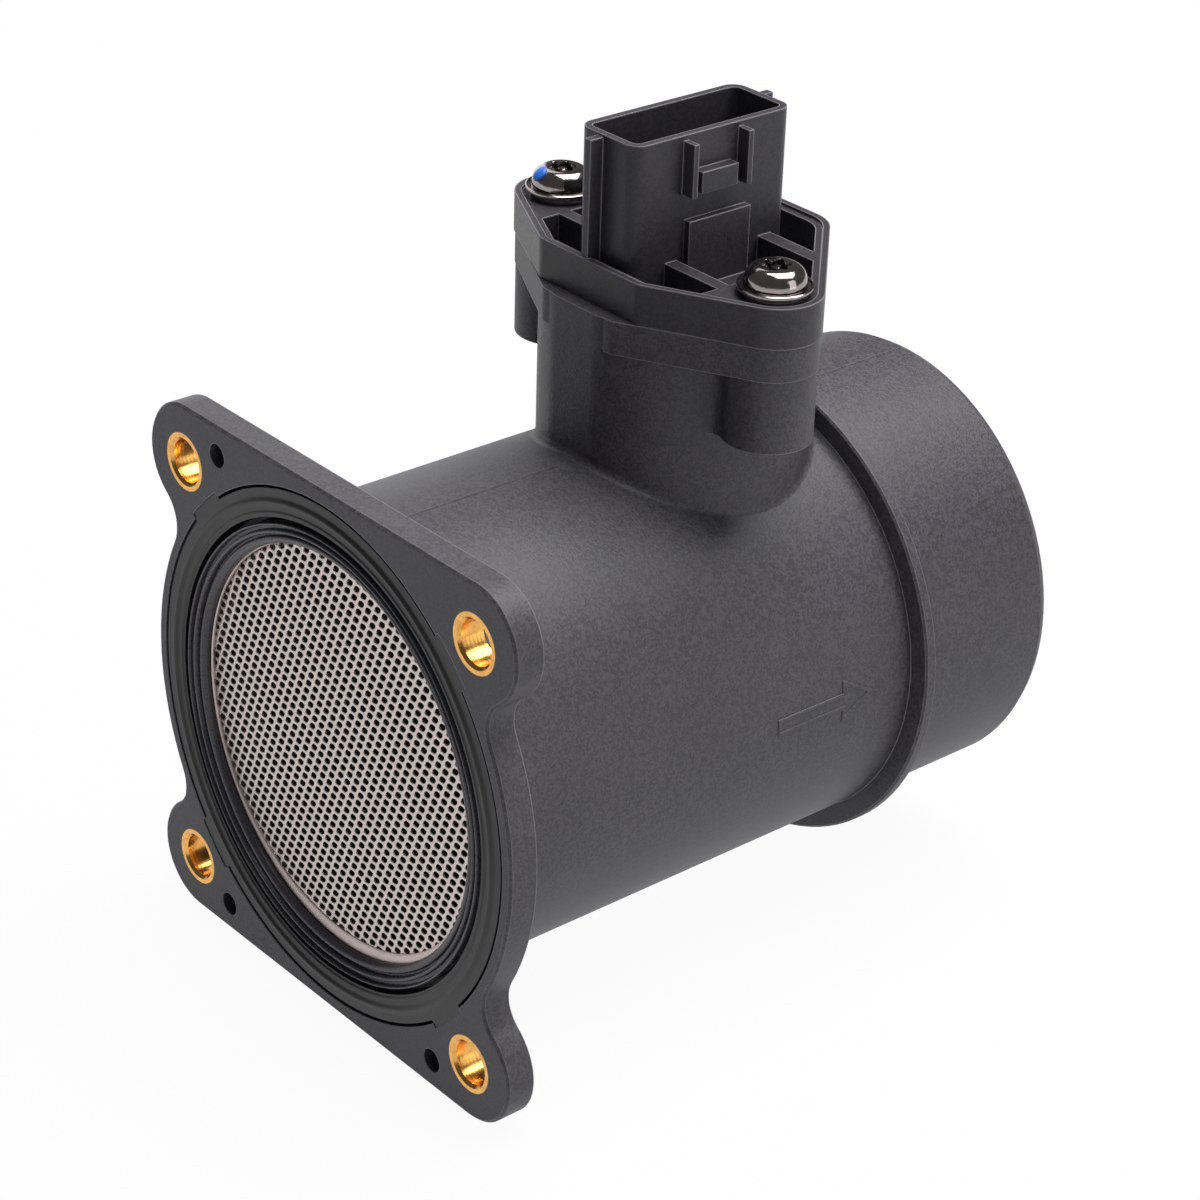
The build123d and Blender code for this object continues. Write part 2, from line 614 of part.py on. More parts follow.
def pin_places():
    """Y of each connector pin, centred in the shroud."""
    return [MODULE_Y + (number - (PIN_COUNT - 1) / 2) * PIN_PITCH for number in range(PIN_COUNT)]


def pin_block(y, bottom, top):
    """Flat bar with the section of a connector pin."""
    return block((-PIN_WIDTH / 2, PIN_WIDTH / 2), (y - PIN_T / 2, y + PIN_T / 2), (bottom, top))


def module_case():
    """One moulding: cover with pockets and ribs, connector shroud, and the skirt below."""
    cover = upright(case_plan(), DECK_TOP, CASE_TOP)
    inner = offset(case_plan(), -CASE_LIP)
    cover -= upright(inner, CASE_TOP - CASE_LIP_H, CASE_TOP + OVERCUT)
    cover -= case_pockets()
    case = cover + connector_outside()
    case -= upright(shroud_plan(SHROUD_WALL), SOCKET_FLOOR, SHROUD_TOP + OVERCUT)
    case += upright(skirt_plan() - chamber_plan(), SKIRT_BOTTOM, DECK_TOP)
    case += upright(chamber_plan(), SKIRT_ROOF, DECK_TOP)
    seal_band = skirt_plan() - offset(skirt_plan(), -SEAL_GROOVE)
    case -= upright(seal_band, SEAL_Z, SEAL_Z + SEAL_T)
    screw_hole = Circle(SCREW_R + SCREW_HOLE_CLEARANCE)
    case -= at_screws(upright(screw_hole, DECK_TOP - OVERCUT, CASE_TOP + OVERCUT))
    for y in pin_places():
        case -= pin_block(y, SKIRT_ROOF - OVERCUT, SOCKET_FLOOR + OVERCUT)
    return case


def module_seal():
    """Rubber ring in the skirt's groove, against the inside of the tower."""
    outer = offset(cavity_plan(), -SEAL_GAP)
    ring = outer - offset(skirt_plan(), -SEAL_GROOVE)
    return upright(ring, SEAL_Z, SEAL_Z + SEAL_T)


def board_plan():
    """Circuit board, a margin inside the walls of the skirt."""
    return offset(chamber_plan(), -BOARD_MARGIN)


def standoff_places():
    """Board standoffs, towards the four corners of the board."""
    size = board_plan().bounding_box()
    x = size.max.X - STANDOFF_INSET_X
    ends = (size.min.Y + STANDOFF_INSET_Y, size.max.Y - STANDOFF_INSET_Y)
    return [(side * x, y) for side in (-1, 1) for y in ends]


def base_plate():
    """Aluminium plate that closes the skirt, cools the board and carries the duct."""
    low = SKIRT_BOTTOM - PLATE_T
    plate = upright(offset(skirt_plan(), -PLATE_CLEARANCE), low, SKIRT_BOTTOM)
    for x, y in standoff_places():
        plate += upright(Pos(x, y) * Circle(STANDOFF_R), SKIRT_BOTTOM, BOARD_Z)
    plate -= upright(post_plan(2 * POST_T), low - OVERCUT, SKIRT_BOTTOM + OVERCUT)
    return plate - bead_leads(2 * LEAD_R)


def circuit_board():
    """Ceramic hybrid board on its standoffs."""
    return upright(board_plan(), BOARD_Z, BOARD_Z + BOARD_T)


def terminal(y):
    """Flat connector blade from the board up into the shroud, with a tapered tip."""
    blade = pin_block(y, BOARD_Z + BOARD_T, SHROUD_TOP - PIN_SETBACK)
    return chamfer(blade.faces().sort_by(Axis.Z)[-1].edges(), PIN_TAPER)


# ======================================================================================
# Sensing duct
# ======================================================================================

def post_plan(width):
    """The four sensing posts in plan, at the given width."""
    rows = (DUCT_Y - WIRE_OFFSET, DUCT_Y + WIRE_OFFSET)
    places = [(side * POST_SPACING / 2, y) for y in rows for side in (-1, 1)]
    return Sketch() + [Pos(x, y) * Rectangle(width, width) for x, y in places]


def bead_leads(radius):
    """The two leads of the air temperature bead: out of the board, down the duct, forward."""
    y = DUCT_FRONT + LEAD_INSET
    bead_y = DUCT_FRONT - AIR_BEAD_REACH
    leads = Part()
    for side in (-1, 1):
        x = side * LEAD_SPACING / 2
        path = Polyline((x, y, BOARD_Z), (x, y, AIR_BEAD_Z), (x, bead_y, AIR_BEAD_Z))
        section = Plane(origin=(x, y, BOARD_Z), z_dir=(0, 0, -1)) * Circle(radius)
        leads += sweep(section, path=path, transition=Transition.RIGHT)
    return leads


def lid_plan(grow=0.0):
    """Lid outline on the side of the duct, drawn in Y and Z."""
    middle = SKIRT_BOTTOM - PLATE_T - LID_DROP - LID_LENGTH / 2
    width = DUCT_LENGTH - 2 * LID_MARGIN + 2 * grow
    return Pos(DUCT_Y, middle) * RectangleRounded(width, LID_LENGTH + 2 * grow, LID_CORNER_R)


def sensing_duct():
    """Probe that hangs in the air stream, with the flared sensing passage through it."""
    duct = upright(duct_plan(), -DUCT_BELOW_AXIS, SKIRT_BOTTOM - PLATE_T)
    duct = fillet(duct.faces().sort_by(Axis.Z)[0].edges(), DUCT_END_ROUND)
    section = Pos(0, BYPASS_Z) * Circle(BYPASS_R)
    duct -= along_flow(section, DUCT_FRONT - OVERCUT, DUCT_BACK + OVERCUT)
    mouth = Cone(BYPASS_R, BYPASS_R + BYPASS_FLARE, BYPASS_FLARE_LENGTH)
    duct -= Pos(0, DUCT_FRONT, BYPASS_Z) * Rot(90, 0, 0) * mouth
    lid_seat = Plane.YZ.offset(DUCT_HALF - LID_T) * lid_plan(LID_CLEARANCE)
    duct -= extrude(lid_seat, amount=LID_T + OVERCUT)
    duct -= upright(post_plan(POST_T), BYPASS_Z, SKIRT_BOTTOM)
    return duct - bead_leads(LEAD_R + LEAD_CLEARANCE)


def duct_lid():
    """Cover over the conductor channel in the side of the duct."""
    return extrude(Plane.YZ.offset(DUCT_HALF - LID_T) * lid_plan(), amount=LID_T)


def sensing_posts():
    """Four stainless posts from the board down into the sensing passage."""
    low = BYPASS_Z - POST_EYE
    plan = post_plan(POST_T)
    return Part(children=list(upright(plan, low, BOARD_Z).solids()))


def sensing_wire(y):
    """Platinum element held across the passage between two posts."""
    reach = (POST_SPACING - POST_T) / 2
    return Pos(0, y, BYPASS_Z) * Rot(0, 90, 0) * Cylinder(WIRE_R, 2 * reach)


def air_temperature_bead():
    """Thermistor bead in front of the duct, on two bent leads that run up to the board."""
    bead = Pos(0, DUCT_FRONT - AIR_BEAD_REACH, AIR_BEAD_Z) * Sphere(AIR_BEAD_R)
    return bead + bead_leads(LEAD_R)


# ======================================================================================
# Fasteners
# ======================================================================================

def washer_seat():
    """Height of the screw pads on the case."""
    return CASE_TOP - CASE_LIP_H


def module_screw():
    """Flanged dome-headed screw with a guard pin in its round socket, drawn on the Z axis."""
    low = washer_seat() + WASHER_T
    edge = low + SCREW_HEAD_EDGE
    top = low + SCREW_HEAD_H
    dome = SagittaArc((SCREW_DOME_R, edge), (SCREW_FLAT_R, top), -SCREW_HEAD_BULGE)
    sides = Polyline(
        (SCREW_FLAT_R, top),
        (0, top),
        (0, low),
        (SCREW_HEAD_R, low),
        (SCREW_HEAD_R, edge),
        (SCREW_DOME_R, edge),
    )
    head = revolve(Plane.XZ * make_face(sides + dome), axis=Axis.Z)
    floor = top - SCREW_SOCKET_DEPTH
    head -= upright(Circle(SCREW_SOCKET_R), floor, top + OVERCUT)
    head += upright(Circle(SCREW_SOCKET_PIN_R), floor, top - SCREW_SOCKET_PIN_LOW)
    shank = upright(Circle(SCREW_R), low - SCREW_LENGTH, low)
    return head + chamfer(shank.edges().sort_by(Axis.Z)[0], SCREW_TIP)


def flat_washer():
    seat = washer_seat()
    return upright(Circle(WASHER_R) - Circle(SCREW_R + WASHER_CLEARANCE), seat, seat + WASHER_T)


def screw_insert():
    """Threaded brass insert pressed into a screw boss."""
    return upright(Circle(INSERT_R) - Circle(SCREW_R), DECK_TOP - INSERT_LENGTH, DECK_TOP)


# ======================================================================================
# Output
# ======================================================================================

def all_nodes():
    nodes = {
        "housing": housing(),
        "flange_gasket": flange_gasket(),
        "screen_rim": screen_rim(),
        "inlet_screen": inlet_screen(),
        "module_case": module_case(),
        "module_seal": module_seal(),
        "base_plate": base_plate(),
        "circuit_board": circuit_board(),
        "sensing_duct": sensing_duct(),
        "duct_lid": duct_lid(),
        "sensing_posts": sensing_posts(),
        "hot_wire": sensing_wire(DUCT_Y + WIRE_OFFSET),
        "cold_wire": sensing_wire(DUCT_Y - WIRE_OFFSET),
        "air_temperature_bead": air_temperature_bead(),
        "module_screws": at_screws(module_screw()),
        "flat_washers": at_screws(flat_washer()),
        "screw_inserts": at_screws(screw_insert()),
    }
    for number, (x, z) in enumerate(bolt_places(), start=1):
        nodes[f"flange_bush_{number}"] = flange_bush(x, z)
    for number, y in enumerate(pin_places(), start=1):
        nodes[f"terminal_{number}"] = terminal(y)
    return nodes


os.makedirs("parts", exist_ok=True)
for name, shape in all_nodes().items():
    export_step(shape, f"parts/{name}.step")
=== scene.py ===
"""Dressed scene of a mass airflow sensor: moulded flow tube, rolled wire screen, plug-in sensor module."""
import math

import bmesh
import bpy
import numpy as np
from bpy.props import FloatProperty, FloatVectorProperty, PointerProperty
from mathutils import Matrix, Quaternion, Vector


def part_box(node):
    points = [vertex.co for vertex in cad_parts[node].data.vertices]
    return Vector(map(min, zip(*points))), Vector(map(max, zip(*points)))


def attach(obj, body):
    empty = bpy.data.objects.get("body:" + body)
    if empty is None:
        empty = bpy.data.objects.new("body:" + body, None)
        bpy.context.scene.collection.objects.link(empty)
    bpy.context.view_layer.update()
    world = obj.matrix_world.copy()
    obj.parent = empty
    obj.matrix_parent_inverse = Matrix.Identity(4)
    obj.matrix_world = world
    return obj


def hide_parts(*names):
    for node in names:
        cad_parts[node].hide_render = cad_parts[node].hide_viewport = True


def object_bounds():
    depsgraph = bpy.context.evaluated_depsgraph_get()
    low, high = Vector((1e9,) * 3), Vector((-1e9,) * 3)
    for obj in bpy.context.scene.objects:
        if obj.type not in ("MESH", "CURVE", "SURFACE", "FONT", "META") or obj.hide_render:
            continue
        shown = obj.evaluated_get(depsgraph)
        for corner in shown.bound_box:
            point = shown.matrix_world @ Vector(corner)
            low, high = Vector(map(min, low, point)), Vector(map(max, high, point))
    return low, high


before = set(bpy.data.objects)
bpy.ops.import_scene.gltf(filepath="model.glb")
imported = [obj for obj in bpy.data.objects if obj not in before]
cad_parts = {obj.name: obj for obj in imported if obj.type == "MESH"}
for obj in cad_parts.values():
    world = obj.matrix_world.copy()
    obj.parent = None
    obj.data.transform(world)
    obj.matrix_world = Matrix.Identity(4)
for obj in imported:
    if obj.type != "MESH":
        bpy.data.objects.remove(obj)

bl_info = {
    "name": "Mass Airflow Sensor",
    "version": (1, 0, 0),
    "blender": (4, 5, 0),
    "location": "View3D > Sidebar > Airflow Sensor",
    "description": "Finishes a flanged airflow sensor: screen, gasket, screws, marks, materials and studio",
    "category": "Add Mesh",
}

MM = 0.001
ROOT = "root"
CAD_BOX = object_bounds()

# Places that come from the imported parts, in metres
RIM_LOW, RIM_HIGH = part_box("screen_rim")
SCREEN_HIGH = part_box("inlet_screen")[1]
GASKET_LOW, GASKET_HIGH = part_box("flange_gasket")
SCREWS_LOW, SCREWS_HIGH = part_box("module_screws")
WASHERS_LOW, WASHERS_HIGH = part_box("flat_washers")


# ======================================================================================
# Colour and node helpers
# ======================================================================================

def linear(code):
    """Linear red, green and blue of an sRGB hex code."""
    parts = np.array([int(code[i:i + 2], 16) / 255 for i in (1, 3, 5)])
    low, high = parts / 12.92, ((parts + 0.055) / 1.055) ** 2.4
    return tuple(float(v) for v in np.where(parts <= 0.04045, low, high))


def add_node(tree, kind, settings=None, sockets=None):
    """Adds one shader node, sets its own settings, and fills or links its sockets."""
    node = tree.nodes.new("ShaderNode" + kind)
    for name, value in (settings or {}).items():
        setattr(node, name, value)
    for key, value in (sockets or {}).items():
        socket = node.inputs[key]
        if isinstance(value, bpy.types.NodeSocket):
            tree.links.new(value, socket)
        elif socket.type == "RGBA" and len(value) == 3:
            socket.default_value = (*value, 1.0)
        else:
            socket.default_value = value
    return node


def new_material(name):
    """Empty node material with its output node: (material, tree, output)."""
    material = bpy.data.materials.new(name)
    material.use_nodes = True
    tree = material.node_tree
    tree.nodes.clear()
    output = add_node(tree, "OutputMaterial")
    return material, tree, output


def ramp(tree, factor, stops):
    """Colour ramp through (position, colour) stops."""
    node = add_node(tree, "ValToRGB", None, {"Fac": factor})
    band = node.color_ramp
    while len(band.elements) < len(stops):
        band.elements.new(0.5)
    for element, (place, colour) in zip(band.elements, stops):
        element.position = place
        element.color = (*colour, 1.0)
    return node.outputs["Color"]


def scaled(colour, factor):
    """A linear colour made lighter or darker."""
    return tuple(min(1.0, c * factor) for c in colour[:3])


# ======================================================================================
# Mesh helpers
# ======================================================================================

def grid_mesh(name, points, wrap_u=False, wrap_v=False, smooth_angle=40.0):
    """Mesh from a (rows, columns, 3) array: quads between neighbours, closed round where asked."""
    rows, columns = points.shape[:2]
    index = np.arange(rows * columns).reshape(rows, columns)
    if wrap_u:
        index = np.vstack([index, index[:1]])
    if wrap_v:
        index = np.hstack([index, index[:, :1]])
    quads = np.stack([index[:-1, :-1], index[1:, :-1], index[1:, 1:], index[:-1, 1:]], axis=-1)
    return mesh_from_arrays(name, points.reshape(-1, 3), quads.reshape(-1, 4), smooth_angle)


def mesh_from_arrays(name, vertices, quads, smooth_angle=40.0):
    """Mesh from vertex and quad arrays, with doubles merged and faces turned outwards."""
    mesh = bpy.data.meshes.new(name)
    mesh.vertices.add(len(vertices))
    mesh.vertices.foreach_set("co", np.asarray(vertices, np.float32).ravel())
    mesh.loops.add(len(quads) * 4)
    mesh.loops.foreach_set("vertex_index", np.asarray(quads, np.int32).ravel())
    mesh.polygons.add(len(quads))
    mesh.polygons.foreach_set("loop_start", np.arange(0, len(quads) * 4, 4, dtype=np.int32))
    mesh.update(calc_edges=True)
    shell = bmesh.new()
    shell.from_mesh(mesh)
    bmesh.ops.remove_doubles(shell, verts=shell.verts, dist=1e-6)
    bmesh.ops.recalc_face_normals(shell, faces=shell.faces)
    shell.to_mesh(mesh)
    shell.free()
    mesh.shade_smooth()
    mesh.set_sharp_from_angle(angle=math.radians(smooth_angle))
    return mesh


def add_piece(name, mesh, material, replaces=()):
    """Links a finished mesh as a piece on the root body, with its finish slot."""
    piece = bpy.data.objects.new(name, mesh)
    bpy.context.scene.collection.objects.link(piece)
    mesh.materials.append(material)
    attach(piece, ROOT)
    if replaces:
        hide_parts(*replaces)


def paint_node(node, material):
    """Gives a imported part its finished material."""
    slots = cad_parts[node].data.materials
    for number in range(len(slots)):
        slots[number] = material


def full_turn(count):
    """Evenly spaced angles round a full turn."""
    return np.arange(count) * 2 * np.pi / count


RING_SIDES = 720


def turned_ring(name, profile):
    """Closed ring round the bore: each (radius, flow) of the profile is carried round at
    x = r cos a, z = r sin a, y = flow. A profile may be one list or one list per angle."""
    angles = full_turn(RING_SIDES)
    profile = np.asarray(profile, float)
    if profile.ndim == 2:
        profile = np.broadcast_to(profile, (RING_SIDES, *profile.shape))
    radius, flow = profile[..., 0], profile[..., 1]
    points = np.stack([radius * np.cos(angles)[:, None], flow, radius * np.sin(angles)[:, None]], axis=-1)
    return grid_mesh(name, points, wrap_u=True, wrap_v=True)


# ======================================================================================
# Sizes, colours and studio settings
# ======================================================================================

class SensorSizes(bpy.types.PropertyGroup):
    """Sizes of the detail pieces."""
    hole_width: FloatProperty(
        name="Hole Width", description="Long axis of a hole of the screen",
        default=1.72 * MM, unit="LENGTH", precision=5)
    hole_height: FloatProperty(
        name="Hole Height", description="Short axis of a hole of the screen",
        default=1.02 * MM, unit="LENGTH", precision=5)
    hole_angle: FloatProperty(
        name="Hole Angle", description="Turn of a hole's long axis from the horizontal",
        default=math.radians(24), subtype="ANGLE")
    screen_thickness: FloatProperty(
        name="Screen Thickness", description="Thickness of the screen where its wires cross",
        default=0.36 * MM, unit="LENGTH", precision=5)
    bead_height: FloatProperty(
        name="Bead Height", description="Height of the gasket's sealing bead over its shoulder",
        default=0.42 * MM, unit="LENGTH", precision=5)
    screw_recess: FloatProperty(
        name="Screw Recess", description="Outer radius of the six-lobed screw recess",
        default=2.45 * MM, unit="LENGTH", precision=5)
    mark_width: FloatProperty(
        name="Mark Width", description="Width of the flow arrow's raised line",
        default=0.7 * MM, unit="LENGTH", precision=5)
    mark_height: FloatProperty(
        name="Mark Height", description="Height of the flow arrow over the tube",
        default=0.32 * MM, unit="LENGTH", precision=5)
    paint_dot: FloatProperty(
        name="Paint Dot", description="Radius of the tightening mark on the left screw",
        default=1.25 * MM, unit="LENGTH", precision=5)


def colour_property(name, description, code):
    """A linear colour property whose default is an sRGB hex code."""
    return FloatVectorProperty(name=name, description=description, subtype="COLOR",
                               default=linear(code), min=0.0, max=1.0)


class SensorColours(bpy.types.PropertyGroup):
    """Colours of the finishes."""
    housing: colour_property("Housing", "Glass-filled nylon of tube and tower", "#454349")
    case: colour_property("Module Case", "Moulding of module case and connector", "#39373c")
    # Duct colour: the case's polyester darkened as painted shade for the bore
    shaded_duct: colour_property("Duct", "Moulding of the sensing duct", "#2b2b2e")
    rubber: colour_property("Rubber", "Moulded gasket and seal", "#1c1b1e")
    brass: colour_property("Brass", "Turned bushes and inserts", "#efb462")
    steel: colour_property("Stainless", "Rolled rim of the screen", "#d6c8c3")
    wire: colour_property("Screen Wire", "Drawn wire of the screen", "#dccfca")
    screw: colour_property("Screw", "Black chromated steel of the module screws", "#9c9392")
    paint: colour_property("Paint", "Tightening mark on the left screw", "#2f74e0")


class StudioSettings(bpy.types.PropertyGroup):
    """Camera, lamps and floor."""
    azimuth: FloatProperty(name="Azimuth", description="Camera's turn round the part",
                           default=math.radians(48.964), subtype="ANGLE")
    elevation: FloatProperty(name="Elevation", description="Camera's height angle",
                             default=math.radians(28.329), subtype="ANGLE")
    roll: FloatProperty(name="Roll", description="Camera's tilt about its own axis",
                        default=math.radians(1.939), subtype="ANGLE")
    distance: FloatProperty(name="Distance", description="Camera to the point it looks at",
                            default=0.545, unit="LENGTH")
    aim: FloatVectorProperty(name="Aim", description="Point the camera looks at", subtype="TRANSLATION",
                             default=(0.003558, 0.054239, 0.012849), unit="LENGTH")
    focal_length: FloatProperty(name="Focal Length", description="Lens length in millimetres",
                                default=97.816, min=1.0)
    overhead: FloatProperty(name="Overhead Light", description="Power of the softbox above and behind",
                            default=20.0, unit="POWER")
    left: FloatProperty(name="Left Light", description="Power of the softbox on the left",
                        default=2.5, unit="POWER")
    right: FloatProperty(name="Right Light", description="Power of the narrow softbox on the right",
                         default=1.9, unit="POWER")
    ambient: FloatProperty(name="Ambient", description="Strength of the even light from all round",
                           default=0.12, min=0.0, max=2.0)


# ======================================================================================
# Materials
# ======================================================================================

def moulded_plastic(name, colour, grain_mm, roughness, relief_mm, edge_highlight_gain=3.0, contrast=0.22, ior=1.43,
                    edge_round_mm=0.32):
    """Moulding from a spark-eroded tool: a satin charcoal skin with a pebbled grain of two sizes,
    with a painted highlight that lightens its edges and corners, and with faint cloudy flow marks. The
    real grain is about 0.1 mm; it is drawn at grain_mm, because a finer one wouldn't show."""
    material, tree, output = new_material(name)
    place = add_node(tree, "TexCoord").outputs["Object"]
    fine = add_node(tree, "TexNoise", None, {
        "Vector": place, "Scale": 1 / (grain_mm * MM), "Detail": 2.0, "Roughness": 0.65})
    coarse = add_node(tree, "TexNoise", None, {
        "Vector": place, "Scale": 1 / (2.4 * grain_mm * MM), "Detail": 1.0, "Roughness": 0.5})
    grain = add_node(tree, "Math", {"operation": "MULTIPLY_ADD"}, {
        0: coarse.outputs["Fac"], 1: 0.45, 2: fine.outputs["Fac"]})
    cloud = add_node(tree, "TexNoise", None, {
        "Vector": place, "Scale": 1 / (22 * MM), "Detail": 3.0, "Roughness": 0.5})
    corner = add_node(tree, "Bevel", {"samples": 8}, {"Radius": edge_round_mm * MM})
    flat = add_node(tree, "NewGeometry").outputs["Normal"]
    turn = add_node(tree, "VectorMath", {"operation": "DOT_PRODUCT"}, {0: corner.outputs[0], 1: flat})
    # Painted highlight: the colour is lightened where the rounded edge normal turns away from the face, along
    # edges and corners
    painted_edge_highlight = add_node(tree, "MapRange", None, {
        "Value": turn.outputs["Value"], "From Min": 0.998, "From Max": 0.88,
        "To Min": 0.0, "To Max": 0.95})
    shade = ramp(tree, cloud.outputs["Fac"], [
        (0.3, scaled(colour, 0.90)), (0.7, scaled(colour, 1.08))])
    speck = add_node(tree, "MapRange", None, {
        "Value": grain.outputs[0], "From Min": 0.625, "From Max": 0.825,
        "To Min": 1 - contrast, "To Max": 1 + contrast})
    skin = add_node(tree, "VectorMath", {"operation": "SCALE"}, {0: shade, "Scale": speck.outputs["Result"]})
    # Skin mixed towards a lighter copy of its colour along the edges: the painted highlight
    edge = add_node(tree, "Mix", {"data_type": "RGBA"}, {
        0: painted_edge_highlight.outputs["Result"], 6: skin.outputs[0], 7: scaled(colour, edge_highlight_gain)})
    rough = add_node(tree, "MapRange", None, {
        "Value": grain.outputs[0], "From Min": 0.5, "From Max": 0.95,
        "To Min": roughness - 0.07, "To Max": roughness + 0.07})
    bump = add_node(tree, "Bump", None, {
        "Strength": 0.7, "Distance": relief_mm * MM, "Height": grain.outputs[0],
        "Normal": corner.outputs[0]})
    shader = add_node(tree, "BsdfPrincipled", None, {
        "Base Color": edge.outputs[2], "Roughness": rough.outputs["Result"], "IOR": ior,
        "Normal": bump.outputs["Normal"]})
    tree.links.new(shader.outputs["BSDF"], output.inputs["Surface"])
    return material


def moulded_rubber(colour):
    """Compression-moulded rubber: matt charcoal with a faint bloom and tiny pits."""
    material, tree, output = new_material("moulded_nitrile_rubber")
    place = add_node(tree, "TexCoord").outputs["Object"]
    pits = add_node(tree, "TexNoise", None, {
        "Vector": place, "Scale": 1 / (0.5 * MM), "Detail": 3.0, "Roughness": 0.6})
    bloom = add_node(tree, "TexNoise", None, {
        "Vector": place, "Scale": 1 / (9 * MM), "Detail": 2.0, "Roughness": 0.5})
    shade = ramp(tree, bloom.outputs["Fac"], [(0.35, scaled(colour, 0.85)), (0.7, scaled(colour, 1.2))])
    bump = add_node(tree, "Bump", None, {
        "Strength": 0.35, "Distance": 0.04 * MM, "Height": pits.outputs["Fac"]})
    shader = add_node(tree, "BsdfPrincipled", None, {
        "Base Color": shade, "Roughness": 0.5, "IOR": 1.52, "Normal": bump.outputs["Normal"]})
    tree.links.new(shader.outputs["BSDF"], output.inputs["Surface"])
    return material


def turned_brass(colour):
    """Free-cutting brass off the lathe: warm yellow, bright, with feed marks round the bore. The wave
    repeats every 0.31 / scale, which puts the marks 0.7 mm apart, coarser than real ones, so that
    they show."""
    material, tree, output = new_material("turned_brass")
    place = add_node(tree, "TexCoord").outputs["Object"]
    feed = add_node(tree, "TexWave", {"wave_type": "BANDS", "bands_direction": "Y"}, {
        "Vector": place, "Scale": 1 / (2.2 * MM), "Distortion": 0.6, "Detail": 1.0})
    stain = add_node(tree, "TexNoise", None, {
        "Vector": place, "Scale": 1 / (1.6 * MM), "Detail": 3.0, "Roughness": 0.6})
    tone = ramp(tree, stain.outputs["Fac"], [
        (0.3, scaled(colour, 0.72)), (0.6, colour[:3]), (0.85, scaled(colour, 1.12))])
    rough = add_node(tree, "MapRange", None, {
        "Value": stain.outputs["Fac"], "To Min": 0.16, "To Max": 0.34})
    bump = add_node(tree, "Bump", None, {
        "Strength": 0.25, "Distance": 0.02 * MM, "Height": feed.outputs["Fac"]})
    shader = add_node(tree, "BsdfPrincipled", None, {
        "Base Color": tone, "Metallic": 1.0, "Roughness": rough.outputs["Result"],
        "Normal": bump.outputs["Normal"]})
    tree.links.new(shader.outputs["BSDF"], output.inputs["Surface"])
    return material


def bright_metal(name, colour, low, high, scale_mm, relief_mm=0.01):
    """Bright metal whose sheen varies a little from place to place."""
    material, tree, output = new_material(name)
    place = add_node(tree, "TexCoord").outputs["Object"]
    marks = add_node(tree, "TexNoise", None, {
        "Vector": place, "Scale": 1 / (scale_mm * MM), "Detail": 3.0, "Roughness": 0.6})
    tone = ramp(tree, marks.outputs["Fac"], [(0.3, scaled(colour, 0.86)), (0.7, scaled(colour, 1.06))])
    rough = add_node(tree, "MapRange", None, {
        "Value": marks.outputs["Fac"], "To Min": low, "To Max": high})
    bump = add_node(tree, "Bump", None, {
        "Strength": 0.3, "Distance": relief_mm * MM, "Height": marks.outputs["Fac"]})
    shader = add_node(tree, "BsdfPrincipled", None, {
        "Base Color": tone, "Metallic": 1.0, "Roughness": rough.outputs["Result"],
        "Normal": bump.outputs["Normal"]})
    tree.links.new(shader.outputs["BSDF"], output.inputs["Surface"])
    return material


def plain_finish(name, colour, roughness, scale_mm):
    """Even finish for small inner parts, with slight shading from place to place."""
    material, tree, output = new_material(name)
    place = add_node(tree, "TexCoord").outputs["Object"]
    cloud = add_node(tree, "TexNoise", None, {
        "Vector": place, "Scale": 1 / (scale_mm * MM), "Detail": 3.0, "Roughness": 0.6})
    tone = ramp(tree, cloud.outputs["Fac"], [(0.3, scaled(colour, 0.88)), (0.7, scaled(colour, 1.05))])
    shader = add_node(tree, "BsdfPrincipled", None, {
        "Base Color": tone, "Roughness": roughness})
    tree.links.new(shader.outputs["BSDF"], output.inputs["Surface"])
    return material


